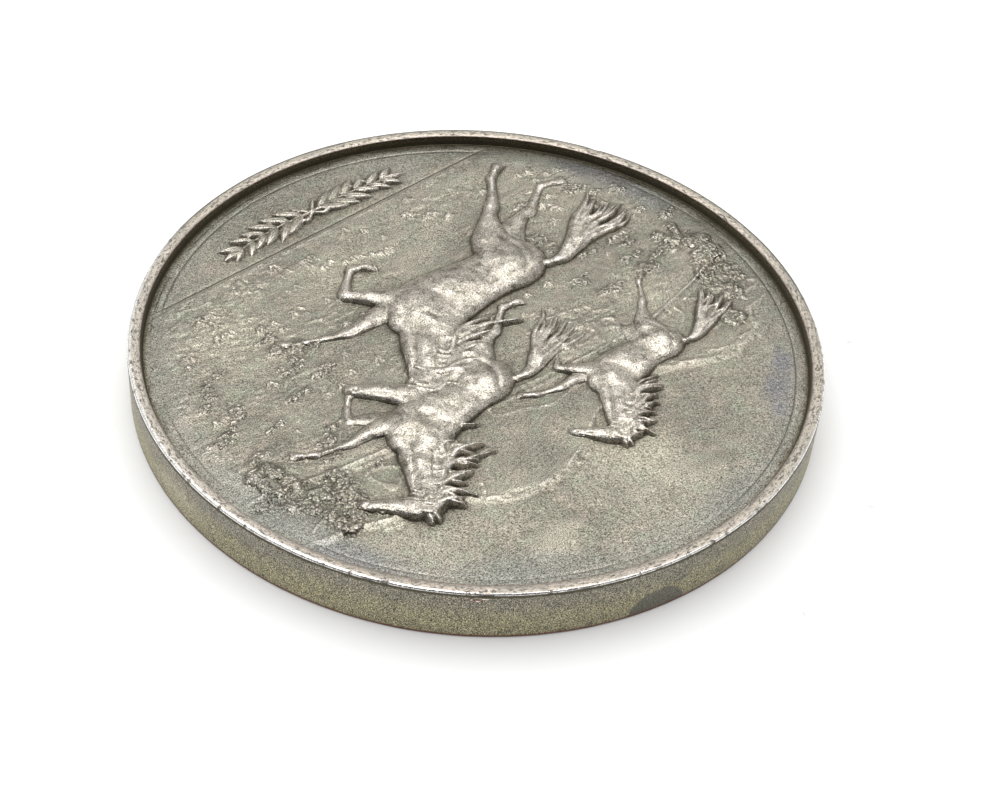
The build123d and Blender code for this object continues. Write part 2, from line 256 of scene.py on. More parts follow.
# Round tree crowns and cloud puffs: across, up and size as shares of the picture radius
TREES = [(0.760, 0.250, 0.085), (0.850, 0.190, 0.080), (0.815, 0.320, 0.070),
         (0.890, 0.070, 0.065), (0.700, 0.345, 0.050), (-0.840, 0.240, 0.080),
         (-0.885, 0.130, 0.070), (-0.790, 0.345, 0.070), (-0.860, 0.020, 0.055),
         (-0.720, 0.430, 0.048)]
CLOUDS = [(-0.280, 0.800, 0.075), (-0.180, 0.825, 0.095), (-0.070, 0.800, 0.075),
          (0.020, 0.790, 0.050), (0.330, 0.740, 0.060), (0.410, 0.755, 0.070),
          (0.490, 0.725, 0.050)]


# Height map


def smooth(t):
    """Soft step: 0 up to 0, 1 from 1 on."""
    t = np.clip(t, 0, 1)
    return t * t * (3 - 2 * t)


def turned(x, y, turn):
    """Places as seen from axes that are turned by an angle."""
    c, s = math.cos(turn), math.sin(turn)
    return x * c + y * s, y * c - x * s


def blended(a, b, reach):
    """Higher of two heights, rounded where they meet."""
    near = np.clip(reach - np.abs(a - b), 0, None) / reach
    return np.maximum(a, b) + near * near * reach * 0.25


def curved(points, per=7):
    """Points along a smooth curve through the given ones, any number of columns."""
    spots = np.array(points, float)
    spots = np.vstack([2 * spots[0] - spots[1], spots, 2 * spots[-1] - spots[-2]])
    t = np.linspace(0, 1, per, endpoint=False)[:, None]
    runs = []
    for i in range(1, len(spots) - 2):
        a, b, c, d = spots[i - 1:i + 3]
        runs.append(0.5 * (2 * b + (c - a) * t + (2 * a - 5 * b + 4 * c - d) * t ** 2
                           + (3 * b - a - 3 * c + d) * t ** 3))
    runs.append(spots[-2][None])
    return np.vstack(runs)


def nearest(path, x, y):
    """Distance to a path, in its own half-breadths if it has them, with the share of the way along
    it and the side."""
    best = np.full(x.shape, 1e9)
    share = np.zeros_like(best)
    side = np.zeros_like(best)
    count = len(path) - 1
    for i in range(count):
        a, b = path[i], path[i + 1]
        run = b[:2] - a[:2]
        t = np.clip(((x - a[0]) * run[0] + (y - a[1]) * run[1]) / (run @ run + 1e-12), 0, 1)
        dx, dy = x - a[0] - t * run[0], y - a[1] - t * run[1]
        d = np.hypot(dx, dy)
        if path.shape[1] > 2:
            d = d / (a[2] + (b[2] - a[2]) * t)
        closer = d < best
        best = np.where(closer, d, best)
        share = np.where(closer, (i + t) / count, share)
        side = np.where(closer, np.sign(run[0] * dy - run[1] * dx), side)
    return best, share, side


class HeightMap:
    """Square of heights over the obverse field, all in millimetres."""

    def __init__(self, half, step):
        self.half = half
        self.count = int(2 * half / step) + 1
        self.axis = np.linspace(-half, half, self.count)
        self.step = self.axis[1] - self.axis[0]
        self.x, self.y = np.meshgrid(self.axis, self.axis)
        self.h = np.zeros((self.count, self.count))
        self.wave = np.fft.fftfreq(self.count)[:, None], np.fft.rfftfreq(self.count)[None, :]

    def window(self, x0, x1, y0, y1):
        def k(v):
            return int(np.clip((v + self.half) / self.step, 0, self.count))
        return slice(k(y0), min(self.count, k(y1) + 2)), slice(k(x0), min(self.count, k(x1) + 2))

    def soften(self, waves, across, up):
        """Map from its waves, blurred over a reach in steps."""
        gauss = np.exp(-2 * math.pi ** 2 * ((self.wave[0] * up) ** 2 + (self.wave[1] * across) ** 2))
        return np.fft.irfft2(waves * gauss, s=self.x.shape)

    def blur(self, a, reach):
        """Gaussian blur over a reach in millimetres."""
        return self.soften(np.fft.rfft2(a), reach / self.step, reach / self.step)

    def noise(self, seed, reach, octaves=3, reach_up=None):
        """Soft random bumps, about -1 to 1, of a size in millimetres."""
        rng = np.random.default_rng(seed)
        white = np.fft.rfft2(rng.standard_normal((self.count, self.count)))
        total = np.zeros((self.count, self.count))
        up = reach if reach_up is None else reach_up
        for k in range(octaves):
            layer = self.soften(white, reach / self.step / 2 ** k, up / self.step / 2 ** k)
            total += layer / layer.std() * 0.55 ** k
        return total / total.std() / 2

    def clumps(self, seed, spacing):
        """Field of small touching domes, 0 in their seams and 1 at their tops."""
        rng = np.random.default_rng(seed)
        count = int(2 * self.half / spacing) + 4
        shift = rng.uniform(0.1, 0.9, (2, count, count))
        u = (self.x + self.half) / spacing + 1
        v = (self.y + self.half) / spacing + 1
        i, j = v.astype(int), u.astype(int)
        best = np.full(u.shape, 9.0)
        for di in (-1, 0, 1):
            for dj in (-1, 0, 1):
                dx = u - (j + dj) - shift[0][i + di, j + dj]
                dy = v - (i + di) - shift[1][i + di, j + dj]
                best = np.minimum(best, np.hypot(dx, dy))
        return np.sqrt(np.clip(1 - (best / 0.85) ** 2, 0, 1))

    def at(self, a, x, y):
        """Values of a map at any points."""
        u = np.clip((x + self.half) / self.step, 0, self.count - 1.001)
        v = np.clip((y + self.half) / self.step, 0, self.count - 1.001)
        i, j = v.astype(int), u.astype(int)
        s, t = v - i, u - j
        return ((a[i, j] * (1 - t) + a[i, j + 1] * t) * (1 - s)
                + (a[i + 1, j] * (1 - t) + a[i + 1, j + 1] * t) * s)


UNDER = -9.0
FIGURE_REACH = 1.25


class Figure:
    """A turned and scaled drawing that is pressed into a height map when it is done."""

    def __init__(self, sheet, at, scale, tilt, high):
        self.sheet, self.at, self.scale, self.high = sheet, at, scale, high
        self.turn = math.radians(tilt)
        r = FIGURE_REACH * scale
        self.w = sheet.window(at[0] - r, at[0] + r, at[1] - r, at[1] + r)
        x, y = turned(sheet.x[self.w] - at[0], sheet.y[self.w] - at[1], self.turn)
        self.x, self.y = x / scale, y / scale
        self.h = np.full(self.x.shape, UNDER)

    def around(self, points, pad):
        """Part of the drawing near some points, as slices."""
        p = np.array(points, float)
        r = pad * self.scale
        x, y = turned(p[:, 0], p[:, 1], -self.turn)
        x, y = self.at[0] + self.scale * x, self.at[1] + self.scale * y
        w = self.sheet.window(x.min() - r, x.max() + r, y.min() - r, y.max() + r)
        i, j = self.w[0].start, self.w[1].start
        rows, cols = self.h.shape
        return (slice(max(0, w[0].start - i), min(rows, max(0, w[0].stop - i))),
                slice(max(0, w[1].start - j), min(cols, max(0, w[1].stop - j))))

    def limb(self, points, level, height, blend=0.0, gauge=0.2, power=0.55):
        """Rounded bar along a curve, higher where it is broader."""
        p = np.array(points, float)
        path = curved(p)
        v = self.around(p, p[:, 2].max() * 1.5 + 0.02)
        q, share, _ = nearest(path, self.x[v], self.y[v])
        half = np.interp(share, np.linspace(0, 1, len(path)), path[:, 2])
        inner = np.clip(q, 0, 1)
        shape = 0.32 * (1 - inner ** 1.8) + 0.68 * np.sqrt(1 - inner ** 3.6)
        dome = height * (half / gauge) ** power * shape
        bar = level + np.where(q < 1, dome, -14 * (q - 1) * half)
        self.h[v] = blended(self.h[v], bar, blend) if blend > 0 else np.maximum(self.h[v], bar)

    def swell(self, muscle):
        """Soft rise on what is already there."""
        v = self.around([(muscle.along, muscle.up)], max(muscle.long, muscle.broad) * 2)
        u, t = turned(self.x[v] - muscle.along, self.y[v] - muscle.up, math.radians(muscle.turn))
        spread = (u / muscle.long) ** 2 + (t / muscle.broad) ** 2
        self.h[v] += muscle.rise * self.high * np.exp(-spread * 1.5)

    def groove(self, crease):
        """Engraved line, fading at its ends."""
        path = curved(np.array(crease.path, float)[:, :2])
        v = self.around(crease.path, crease.breadth * 6)
        d, share, side = nearest(path, self.x[v], self.y[v])
        w = crease.breadth * np.where(side > 0, 1 + crease.soft, 1)
        fade = np.sin(math.pi * np.clip(share, 0.03, 0.97)) ** 0.5
        self.h[v] -= crease.depth * self.high * np.exp(-(d / w) ** 2) * fade

    def hoof(self, x, y, turn, size, level, height):
        """Flat wedge, broadest at its sole."""
        v = self.around([(x, y)], size * 1.6)
        u, t = turned(self.x[v] - x, self.y[v] - y, math.radians(turn))
        u, t = u / size, t / size
        q = np.abs(t) / (0.36 + 0.22 * np.clip(u, 0, 1))
        inside = (u > -0.15) & (u < 1) & (q < 1)
        wedge = level + height * ((1 - 0.9 * np.clip(q, 0, 1) ** 2) ** 0.5
                                  - 0.35 * np.clip(u, 0, 1))
        self.h[v] = np.where(inside, np.maximum(self.h[v], wedge), self.h[v])

    def press(self, floor):
        """Adds the drawing to the map and starts a new one over it."""
        whole = self.sheet.h[self.w]
        above = self.h > floor
        whole[above] = np.maximum(whole[above], self.h[above])
        self.h = np.full(self.x.shape, UNDER)


def carve_horse(sheet, horse, radius, relief, seed):
    """One galloping horse, far legs first."""
    rng = np.random.default_rng(seed)
    high = horse.height * relief
    fig = Figure(sheet, (horse.across * radius, horse.up * radius), horse.length * radius,
                 horse.tilt, high)
    level = horse.foot * relief
    floor = 0.03

    def leg(name, foot, height, blend):
        fig.limb(LEGS[name].joints, foot, height, blend)
        x, y, turn = LEGS[name].hoof
        fig.hoof(x, y, turn, 0.075, foot, height * 0.42)

    leg(horse.far_fore, level, 0.62 * high, 0)
    leg(horse.far_hind, level, 0.62 * high, 0)
    fig.press(floor)
    for k in range(TAIL_LOCKS):
        u = k / (TAIL_LOCKS - 1)
        j = rng.uniform(-1, 1, 4)
        lock = [(-0.47, 0.20 + 0.02 * u, 0.022), (-0.58, 0.255 - 0.03 * u, 0.026),
                (-0.74, 0.24 - 0.10 * u + 0.015 * j[0], 0.026),
                (-0.90, 0.235 - 0.20 * u + 0.02 * j[1], 0.020),
                (-1.03 + 0.05 * j[3], 0.26 - 0.27 * u + 0.03 * j[2], 0.013),
                (-1.16 + 0.10 * abs(u - 0.4) + 0.05 * j[3], 0.235 - 0.30 * u + 0.04 * j[2], 0.002)]
        fig.limb(lock, level + 0.04 + 0.04 * (k % 3), 0.85 * high, 0, power=0.45)
    fig.press(floor)
    near = level + 0.02
    fig.limb(TRUNK, near, 0.95 * high)
    fig.limb(NECK, near, 0.93 * high, 0.25 * high)
    leg(horse.near_fore, near + 0.02, 0.98 * high, 0.18 * high)
    leg(horse.near_hind, near + 0.02, 1.02 * high, 0.22 * high)
    fig.limb(HEAD, near + 0.03, 0.96 * high, 0.10 * high)
    for muscle in MUSCLES:
        fig.swell(muscle)
    for crease in CREASES:
        fig.groove(crease)
    for k in range(RIBS):
        x = 0.10 - 0.062 * k
        fig.groove(Crease([(x - 0.01, 0.11), (x - 0.035, 0.02), (x, -0.07)], 0.011, 0.022, 0.0))
    v = fig.around([(0.85, 0.475)], 0.05)
    eye = (fig.x[v] - 0.848) ** 2 + (fig.y[v] - 0.478) ** 2
    fig.h[v] += high * (0.20 * np.exp(-eye / 0.010 ** 2) - 0.14 * np.exp(-eye / 0.019 ** 2))
    v = fig.around([(0.99, 0.265)], 0.05)
    nostril = ((fig.x[v] - 0.997) / 0.016) ** 2 + ((fig.y[v] - 0.262) / 0.011) ** 2
    fig.h[v] -= 0.20 * high * np.exp(-nostril)
    fig.groove(MOUTH)
    fig.press(floor)
    fig.limb(NEAR_EAR, near + 0.22 * high, 0.9 * high, power=0.45)
    fig.limb(FAR_EAR, near + 0.20 * high, 0.8 * high, power=0.45)
    half = MANE_LOCKS // 2
    for k in range(MANE_LOCKS):
        u = np.clip((k % half) / (half - 1) + 0.05 * rng.uniform(-1, 1), 0, 1)
        j = rng.uniform(-1, 1, 4)
        x, y = 0.35 + 0.42 * u, 0.305 + 0.270 * u ** 0.85
        reach = (0.33 - 0.12 * u) * (1 + 0.28 * j[0]) * (1.0 if k < half else 0.72)
        a = math.radians(176 - 24 * u + 15 * j[1])
        bend = math.radians(20 + 22 * j[2])
        broad = 0.021 * (1 + 0.35 * j[3])
        mx, my = x + 0.5 * reach * math.cos(a + bend), y + 0.5 * reach * math.sin(a + bend)
        tx, ty = mx + 0.5 * reach * math.cos(a - bend), my + 0.5 * reach * math.sin(a - bend)
        lock = [(x + 0.08, y - 0.12, 0.3 * broad), (x + 0.04, y - 0.04, 0.8 * broad),
                (x, y + 0.005, broad), (mx, my, 0.9 * broad), (tx, ty, 0.12 * broad)]
        fig.limb(lock, near + (0.20 + 0.06 * (k % 4)) * high, 0.9 * high, power=0.45)
    fig.press(floor)


def carve_ridge(sheet, line, reach, rise, fade, seed, rough):
    """Land that is highest at its skyline and falls away towards the viewer."""
    path = curved(np.array(line) * reach, 12)
    skyline = np.interp(sheet.x, path[:, 0], path[:, 1]) + rough * sheet.noise(seed, 1.2, 3)
    down = skyline - sheet.y
    rise = rise * (0.62 + 0.38 * smooth(0.5 + 0.9 * sheet.noise(seed + 5, 3.2, 2)))
    land = rise * smooth(down / 0.60) * (1 - 0.75 * smooth(down / fade))
    sheet.h = np.where(down > 0, np.maximum(sheet.h * smooth(1 - down / 0.3), land), sheet.h)


def stroke(sheet, points, level, height, gauge, flat=2.0, power=0.5):
    """One rounded stroke straight in the map; points hold x, y and half-breadth."""
    p = np.array(points, float)
    path = curved(p, 4)
    pad = p[:, 2].max() * 1.3
    w = sheet.window(p[:, 0].min() - pad, p[:, 0].max() + pad, p[:, 1].min() - pad,
                     p[:, 1].max() + pad)
    q, share, _ = nearest(path, sheet.x[w], sheet.y[w])
    half = np.interp(share, np.linspace(0, 1, len(path)), path[:, 2])
    dome = level + height * (half / gauge) ** power * (1 - np.clip(q, 0, 1) ** flat) ** 0.5
    area = sheet.h[w]
    inside = q < 1
    area[inside] = np.maximum(area[inside], dome[inside])


def puff(sheet, x, y, size, level, height, squash=1.0):
    """Small dome."""
    w = sheet.window(x - size, x + size, y - size, y + size)
    q = np.hypot(sheet.x[w] - x, (sheet.y[w] - y) / squash) / size
    area = sheet.h[w]
    inside = q < 1
    dome = level + height * (1 - np.clip(q, 0, 1) ** 2) ** 0.5
    area[inside] = np.maximum(area[inside], dome[inside])


def grow(layer, sheet, x, y, across, up, dome, leafy, leaves, ragged):
    """Ragged mound of leaf clumps in the layer of growth."""
    w = sheet.window(x - 1.5 * across, x + 1.5 * across, y - 1.5 * up, y + 1.5 * up)
    q = np.hypot((sheet.x[w] - x) / across, (sheet.y[w] - y) / up) + 0.34 * ragged[w]
    body = dome * np.clip(1 - q * q, 0, 1) ** 0.7 + leafy * leaves[w] * smooth((1 - q) / 0.55)
    layer[w] = np.maximum(layer[w], body)


def carve_grass(sheet, x, y, size, level, rng):
    """Tuft of thin blades."""
    for _ in range(int(rng.integers(6, 10))):
        lean = rng.uniform(-0.8, 0.8)
        tall = size * rng.uniform(0.6, 1.1) * (1 - 0.3 * abs(lean))
        foot = x + 0.30 * size * (lean + 0.3 * rng.uniform(-1, 1))
        blade = [(foot, y, 0.045), (foot + lean * 0.35 * tall, y + 0.6 * tall, 0.036),
                 (foot + lean * tall, y + tall, 0.006)]
        stroke(sheet, blade, level, rng.uniform(0.06, 0.12), 0.045)


def carve_leaf(sheet, x, y, turn, size, breadth, level, height):
    """Laurel leaf with a midrib."""
    w = sheet.window(x - size, x + size, y - size, y + size)
    u, t = turned(sheet.x[w] - x, sheet.y[w] - y, turn)
    u, t = u / size, t / breadth
    half = np.sin(math.pi * np.clip(u, 1e-4, 1 - 1e-4) ** 0.85) ** 0.8
    q = np.abs(t) / np.maximum(half, 1e-3)
    inside = (u > 0) & (u < 1) & (q < 1)
    body = level + height * half ** 0.5 * ((1 - np.clip(q, 0, 1) ** 2) ** 0.5
                                           - 0.42 * np.exp(-(t / 0.10) ** 2) * (1 - u))
    area = sheet.h[w]
    area[inside] = np.maximum(area[inside], body[inside])


def carve_sprig(sheet, side, middle, rng):
    """Half of the laurel sprig."""
    reach = 8.6

    def stem(share):
        return (side * (share * reach - 0.8),
                middle - 0.9 * math.sin(1.2 * share) + 1.1 * share * share)

    spots = [(*stem(k / 6), 0.13 - 0.012 * k) for k in range(7)]
    stroke(sheet, spots, 0.03, 0.18, 0.13)
    pairs = 6
    for k in range(pairs):
        share = (k + 1.3) / (pairs + 1.0)
        x, y = stem(share)
        ahead = stem(share + 0.05)
        heading = math.atan2(ahead[1] - y, ahead[0] - x)
        for n, turn in enumerate((0.58, -0.58)):
            size = 2.75 * (1 - 0.34 * share) * rng.uniform(0.9, 1.08)
            carve_leaf(sheet, x, y, heading + turn + rng.uniform(-0.12, 0.12), size,
                       0.19 * size, 0.04 + 0.05 * n, 0.24 * rng.uniform(0.85, 1.1))
        for turn in (1.5, -1.5):
            if rng.uniform() < 0.45:
                puff(sheet, x + 0.55 * math.cos(heading + turn), y + 0.55 * math.sin(heading + turn),
                     0.19, 0.05, 0.20)
    x, y = stem(0.93)
    tip = stem(1.0)
    carve_leaf(sheet, x, y, math.atan2(tip[1] - y, tip[0] - x), 1.9, 0.34, 0.06, 0.22)
    bow = [(0, middle, 0.16), (side * 0.75, middle + 0.55, 0.20), (side * 1.25, middle + 0.35, 0.24),
           (side * 0.85, middle - 0.10, 0.18), (0, middle, 0.14)]
    stroke(sheet, bow, 0.12, 0.16, 0.2)
    stroke(sheet, [(0, middle, 0.15), (side * 0.5, middle - 0.6, 0.19),
                   (side * 1.0, middle - 1.15, 0.16)], 0.08, 0.15, 0.2)
    puff(sheet, 0, middle, 0.30, 0.18, 0.18)


def line_at(line, reach, x):
    """Height of a skyline over places across the picture."""
    path = curved(np.array(line) * reach, 12)
    return np.interp(x, path[:, 0], path[:, 1])


def carve_clouds(sheet, picture, rng):
    """Faint banks of cloud."""
    for across, up, size in CLOUDS:
        for _ in range(CLOUD_PUFFS):
            turn = rng.uniform(0, 2 * math.pi)
            out = size * picture * 0.6 * math.sqrt(rng.uniform())
            puff(sheet, across * picture + 1.8 * out * math.cos(turn),
                 up * picture + 0.6 * out * math.sin(turn), size * picture * rng.uniform(0.35, 0.6),
                 0.0, rng.uniform(0.04, 0.07), 0.75)
    sheet.h = sheet.blur(sheet.h, 0.30)


def carve_hills(sheet, picture, ragged, leaves):
    """Hills with ploughed plots and woods, and the meadow's edge; returns its skyline."""
    x, y = sheet.x, sheet.y
    carve_ridge(sheet, HILL_LINE, picture, 0.14, 5.0, 11, 0.14)
    hill_top = line_at(HILL_LINE, picture, x)
    meadow_top = line_at(MEADOW_LINE, picture, x)
    on_hill = smooth((hill_top - y - 0.3) / 0.5) * smooth((y - meadow_top) / 0.4)
    plots = sheet.noise(13, 1.7, 2, 0.9)
    bent = 0.5 * sheet.noise(15, 3.0, 2)
    rows_one = np.sin(2 * math.pi * ((0.93 * x + 0.36 * y + bent) / 0.62))
    rows_two = np.sin(2 * math.pi * ((0.25 * x - 0.97 * y + bent) / 0.50))
    sheet.h += on_hill * 0.010 * (0.6 + 0.4 * ragged) * (
        rows_one * smooth((plots - 0.25) / 0.1) + rows_two * smooth((-0.2 - plots) / 0.1))
    bushes = sheet.clumps(46, 0.55)
    hedge = (np.abs(plots - 0.02 * ragged) < 0.07) & (bushes > 0.72)
    woods = hedge | ((np.abs(y - hill_top + 0.30 + 0.30 * plots) < 0.30) & (bushes > 0.62))
    woods &= (y < hill_top + 0.35) & (y > meadow_top - 0.2)
    sheet.h += sheet.blur(np.where(woods, 0.03 + 0.05 * leaves, 0), 0.06)
    carve_ridge(sheet, MEADOW_LINE, picture, 0.16, 9.0, 12, 0.16)
    meadow_edge = (np.abs(y - meadow_top + 0.20) < 0.40) & (bushes > 0.60)
    sheet.h += sheet.blur(np.where(meadow_edge, 0.03 + 0.06 * leaves, 0), 0.06)
    return meadow_top


def carve_meadow(sheet, meadow_top, ground):
    """Rolling ground with clods and turf; returns where it lies."""
    depth = np.clip((meadow_top - sheet.y) / (meadow_top - ground), 0, 1)
    land = smooth((meadow_top - sheet.y) / 2.0)
    roll = sheet.noise(21, 1.7, 2, 0.6)
    clods = 1 - np.abs(sheet.noise(22, 0.55, 3, 0.24))
    bare = smooth((sheet.noise(23, 2.6, 2, 1.3) - 0.10) / 0.45)
    turf = sheet.noise(24, 0.16, 2, 0.10)
    sheet.h += land * (0.08 + 0.040 * roll * (0.4 + 0.6 * depth)
                       + 0.075 * bare * np.clip(clods - 0.55, 0, 1)
                       + (0.012 + 0.010 * bare) * turf)
    return land


def carve_growth(sheet, picture, ragged, leaves, small_leaves, rng):
    """Trees and bushes; returns where they stand."""
    growth = np.zeros_like(sheet.x)
    for across, up, size in TREES:
        for _ in range(CROWNS_PER_TREE):
            out = 0.55 * size * picture
            grow(growth, sheet, across * picture + out * rng.uniform(-1, 1),
                 up * picture + out * rng.uniform(-1, 1), size * picture * rng.uniform(0.5, 0.8),
                 size * picture * rng.uniform(0.5, 0.9), rng.uniform(0.05, 0.10), 0.13, leaves,
                 ragged)
    for _ in range(BUSH_GROUPS):
        px = rng.choice((-1, 1)) * rng.uniform(0.45, 0.93) * picture
        py = rng.uniform(-0.42, 0.16) * picture
        for _ in range(int(rng.integers(2, 7))):
            bx, by = px + 1.1 * rng.uniform(-1, 1), py + 0.45 * rng.uniform(-1, 1)
            if math.hypot(bx, by) < picture - 0.6:
                size = rng.uniform(0.35, 0.95)
                grow(growth, sheet, bx, by, size, 0.55 * size, 0.05, 0.09, small_leaves, ragged)
    sheet.h += growth
    return smooth(growth / 0.07)


def carve_tufts(sheet, picture, ground, rng):
    """Tufts of grass over the meadow, larger towards the viewer."""
    for _ in range(TUFT_GROUPS):
        px = rng.uniform(-0.93, 0.93) * picture
        py = ground + 0.35 + rng.uniform(0, 1) ** 1.4 * (0.20 * picture - ground)
        if math.hypot(px, py) < picture - 0.9:
            size = 1.05 - 0.55 * (py - ground) / (0.3 * picture - ground)
            for _ in range(int(rng.integers(1, 4))):
                carve_grass(sheet, px + rng.uniform(-0.7, 0.7), py + rng.uniform(-0.2, 0.2),
                            size * rng.uniform(0.7, 1.1), 0.12 + 0.02 * rng.uniform(-1, 1), rng)


def carve_ground_line(sheet, ground, ragged, figure):
    """Ledge between picture and exergue; returns the crease under it."""
    line = np.abs(sheet.y - ground)
    ledge = (0.06 + 0.02 * ragged) * (1 - np.clip(line / 0.28, 0, 1) ** 2)
    sheet.h = np.maximum(sheet.h, ledge)
    crease = np.exp(-((sheet.y - ground + 0.30) / 0.08) ** 2) * (1 - figure)
    sheet.h -= 0.070 * crease
    return crease


def carve_border(sheet, radius, picture, ground):
    """Fine line round the picture, faded in places; returns where it is."""
    x, y = sheet.x, sheet.y
    far = np.hypot(x, y)
    sheet.h *= smooth((radius - 0.15 - far) / 2.3)
    faded = 0.60 * smooth(0.5 + 1.1 * sheet.noise(32, 4.0, 2))
    faded += (1 - faded) * smooth((ground - y) / 0.8)
    faded += (1 - faded) * 0.9 * smooth((0.5 * (y - x) - 0.50 * radius) / 2.0)
    border = faded * np.exp(-((far - picture) / 0.045) ** 2)
    sheet.h -= 0.050 * border
    return border


def carve_picture(sizes):
    """The obverse picture as a height map, with masks for its parts and slopes for its shading."""
    radius = (sizes.diameter / 2 - sizes.rim_width - sizes.wall_run) / MM
    picture = radius - sizes.border_inset / MM
    ground = sizes.exergue_height / MM - radius
    relief = sizes.relief_height / MM
    sheet = HeightMap(radius + 0.2, sizes.map_step / MM)
    rng = np.random.default_rng(sizes.seed)
    ragged = sheet.noise(41, 0.45, 3)
    small_leaves = sheet.clumps(44, 0.27)
    leaves = (0.25 * sheet.clumps(42, 0.85) + 0.40 * sheet.clumps(43, 0.42)
              + 0.35 * small_leaves)

    carve_clouds(sheet, picture, rng)
    meadow_top = carve_hills(sheet, picture, ragged, small_leaves)
    land = carve_meadow(sheet, meadow_top, ground)
    growth = carve_growth(sheet, picture, ragged, leaves, small_leaves, rng)
    carve_tufts(sheet, picture, ground, rng)
    sheet.h *= smooth((sheet.y - ground) / 0.12)
    bare_land = sheet.h.copy()
    for k, horse in enumerate(HORSES):
        carve_horse(sheet, horse, radius, relief, sizes.seed + 20 + k)
    figure = sheet.blur(smooth((sheet.h - bare_land) / 0.04), 0.04)
    sheet.h += 0.045 * figure * sheet.noise(61, 0.50, 3)
    crease = carve_ground_line(sheet, ground, ragged, figure)
    middle = ground - 0.36 * (sizes.exergue_height - sizes.border_inset) / MM
    for side in (-1, 1):
        carve_sprig(sheet, side, middle, rng)
    border = carve_border(sheet, radius, picture, ground)

    # worn: a soft waviness, rounded detail, and crests rubbed down
    sheet.h += 0.008 * sheet.noise(31, 2.4, 3)
    sheet.h = sheet.blur(sheet.h, 0.032)
    full = sheet.h + 0.70 * sheet.h * smooth((sheet.h / relief - 0.18) / 0.25)
    over = np.clip(sheet.h - 0.6 * relief, 0, None) / (0.4 * relief)
    sheet.h = np.where(over > 0, relief * (0.6 + 0.4 * np.tanh(over)), sheet.h)
    fine = sheet.blur(sheet.h, 0.16) - sheet.h
    broad = sheet.blur(sheet.h, 0.60) - sheet.h
    halo = sheet.blur(sheet.h, 1.7) - sheet.h
    masks = {
        "recess": (np.clip(11 * fine, 0, 1) * 0.60 + np.clip(2.8 * broad, 0, 1) * 0.50
                   + np.clip(2.2 * halo, 0, 1) * 0.30 + 0.60 * border + 0.45 * crease),
        "crest": np.clip(-16 * fine, 0, 1) * 0.70 + np.clip(-3.0 * broad, 0, 1) * 0.50,
        "figure": figure,
        "growth": growth * (1 - figure),
        "land": land * (1 - figure),
    }
    round_y, round_x = np.gradient(sheet.blur(figure, 0.30), sheet.step)
    slope_y, slope_x = np.gradient(full, sheet.step)
    slopes = (slope_x + 0.45 * figure * round_x, slope_y + 0.45 * figure * round_y)
    return sheet, masks, slopes


# Mesh of the obverse


def plain_mesh(name, points, faces):
    mesh = bpy.data.meshes.new(name)
    mesh.from_pydata(points.tolist(), [], faces)
    mesh.update()
    return mesh


def thinned_disc(sheet, guide, reach, triangles):
    """Points and triangles of the map inside a circle, densest where the guide surface bends."""
    far = np.hypot(sheet.x, sheet.y)
    inside = far < reach
    whole = inside[:-1, :-1] & inside[1:, :-1] & inside[:-1, 1:] & inside[1:, 1:]
    used = np.zeros_like(inside)
    for rows in (slice(0, -1), slice(1, None)):
        for cols in (slice(0, -1), slice(1, None)):
            used[rows, cols] |= whole
    number = np.full(inside.shape, -1)
    number[used] = np.arange(used.sum())
    corners = np.stack([number[:-1, :-1][whole], number[:-1, 1:][whole], number[1:, 1:][whole],
                        number[1:, :-1][whole]], 1)
    points = np.stack([sheet.x[used], sheet.y[used], guide[used]], 1)
    mesh = bpy.data.meshes.new("picture_grid")
    mesh.vertices.add(len(points))
    mesh.vertices.foreach_set("co", points.astype(np.float32).ravel())
    mesh.loops.add(4 * len(corners))
    mesh.loops.foreach_set("vertex_index", corners.astype(np.int32).ravel())
    mesh.polygons.add(len(corners))
    mesh.polygons.foreach_set("loop_start", np.arange(0, 4 * len(corners), 4, dtype=np.int32))
    mesh.update(calc_edges=True)
    grid = bpy.data.objects.new("picture_grid", mesh)
    bpy.context.scene.collection.objects.link(grid)
    thin = grid.modifiers.new("thin", "DECIMATE")
    thin.ratio = triangles / (2 * len(corners))
    thin.use_collapse_triangulate = True
    graph = bpy.context.evaluated_depsgraph_get()
    result = bpy.data.meshes.new_from_object(grid.evaluated_get(graph))
    spots = np.empty(3 * len(result.vertices), np.float32)
    result.vertices.foreach_get("co", spots)
    result.calc_loop_triangles()
    faces = np.empty(3 * len(result.loop_triangles), np.int32)
    result.loop_triangles.foreach_get("vertices", faces)
    bpy.data.objects.remove(grid)
    bpy.data.meshes.remove(mesh)
    bpy.data.meshes.remove(result)
    return spots.reshape(-1, 3).astype(float)[:, :2], faces.reshape(-1, 3)


def rim_of(faces):
    """The open edge of a triangle mesh, as vertex numbers in order."""
    edges = np.vstack([faces[:, [0, 1]], faces[:, [1, 2]], faces[:, [2, 0]]])
    keys = np.sort(edges, 1)
    order = np.lexsort((keys[:, 1], keys[:, 0]))
    keys = keys[order]
    same = np.all(keys[1:] == keys[:-1], 1)
    single = np.ones(len(keys), bool)
    single[1:] &= ~same
    single[:-1] &= ~same
    follow = {int(a): int(b) for a, b in edges[order][single]}
    start = next(iter(follow))
    loop = [start]
    while follow[loop[-1]] != start:
        loop.append(follow[loop[-1]])
    return loop


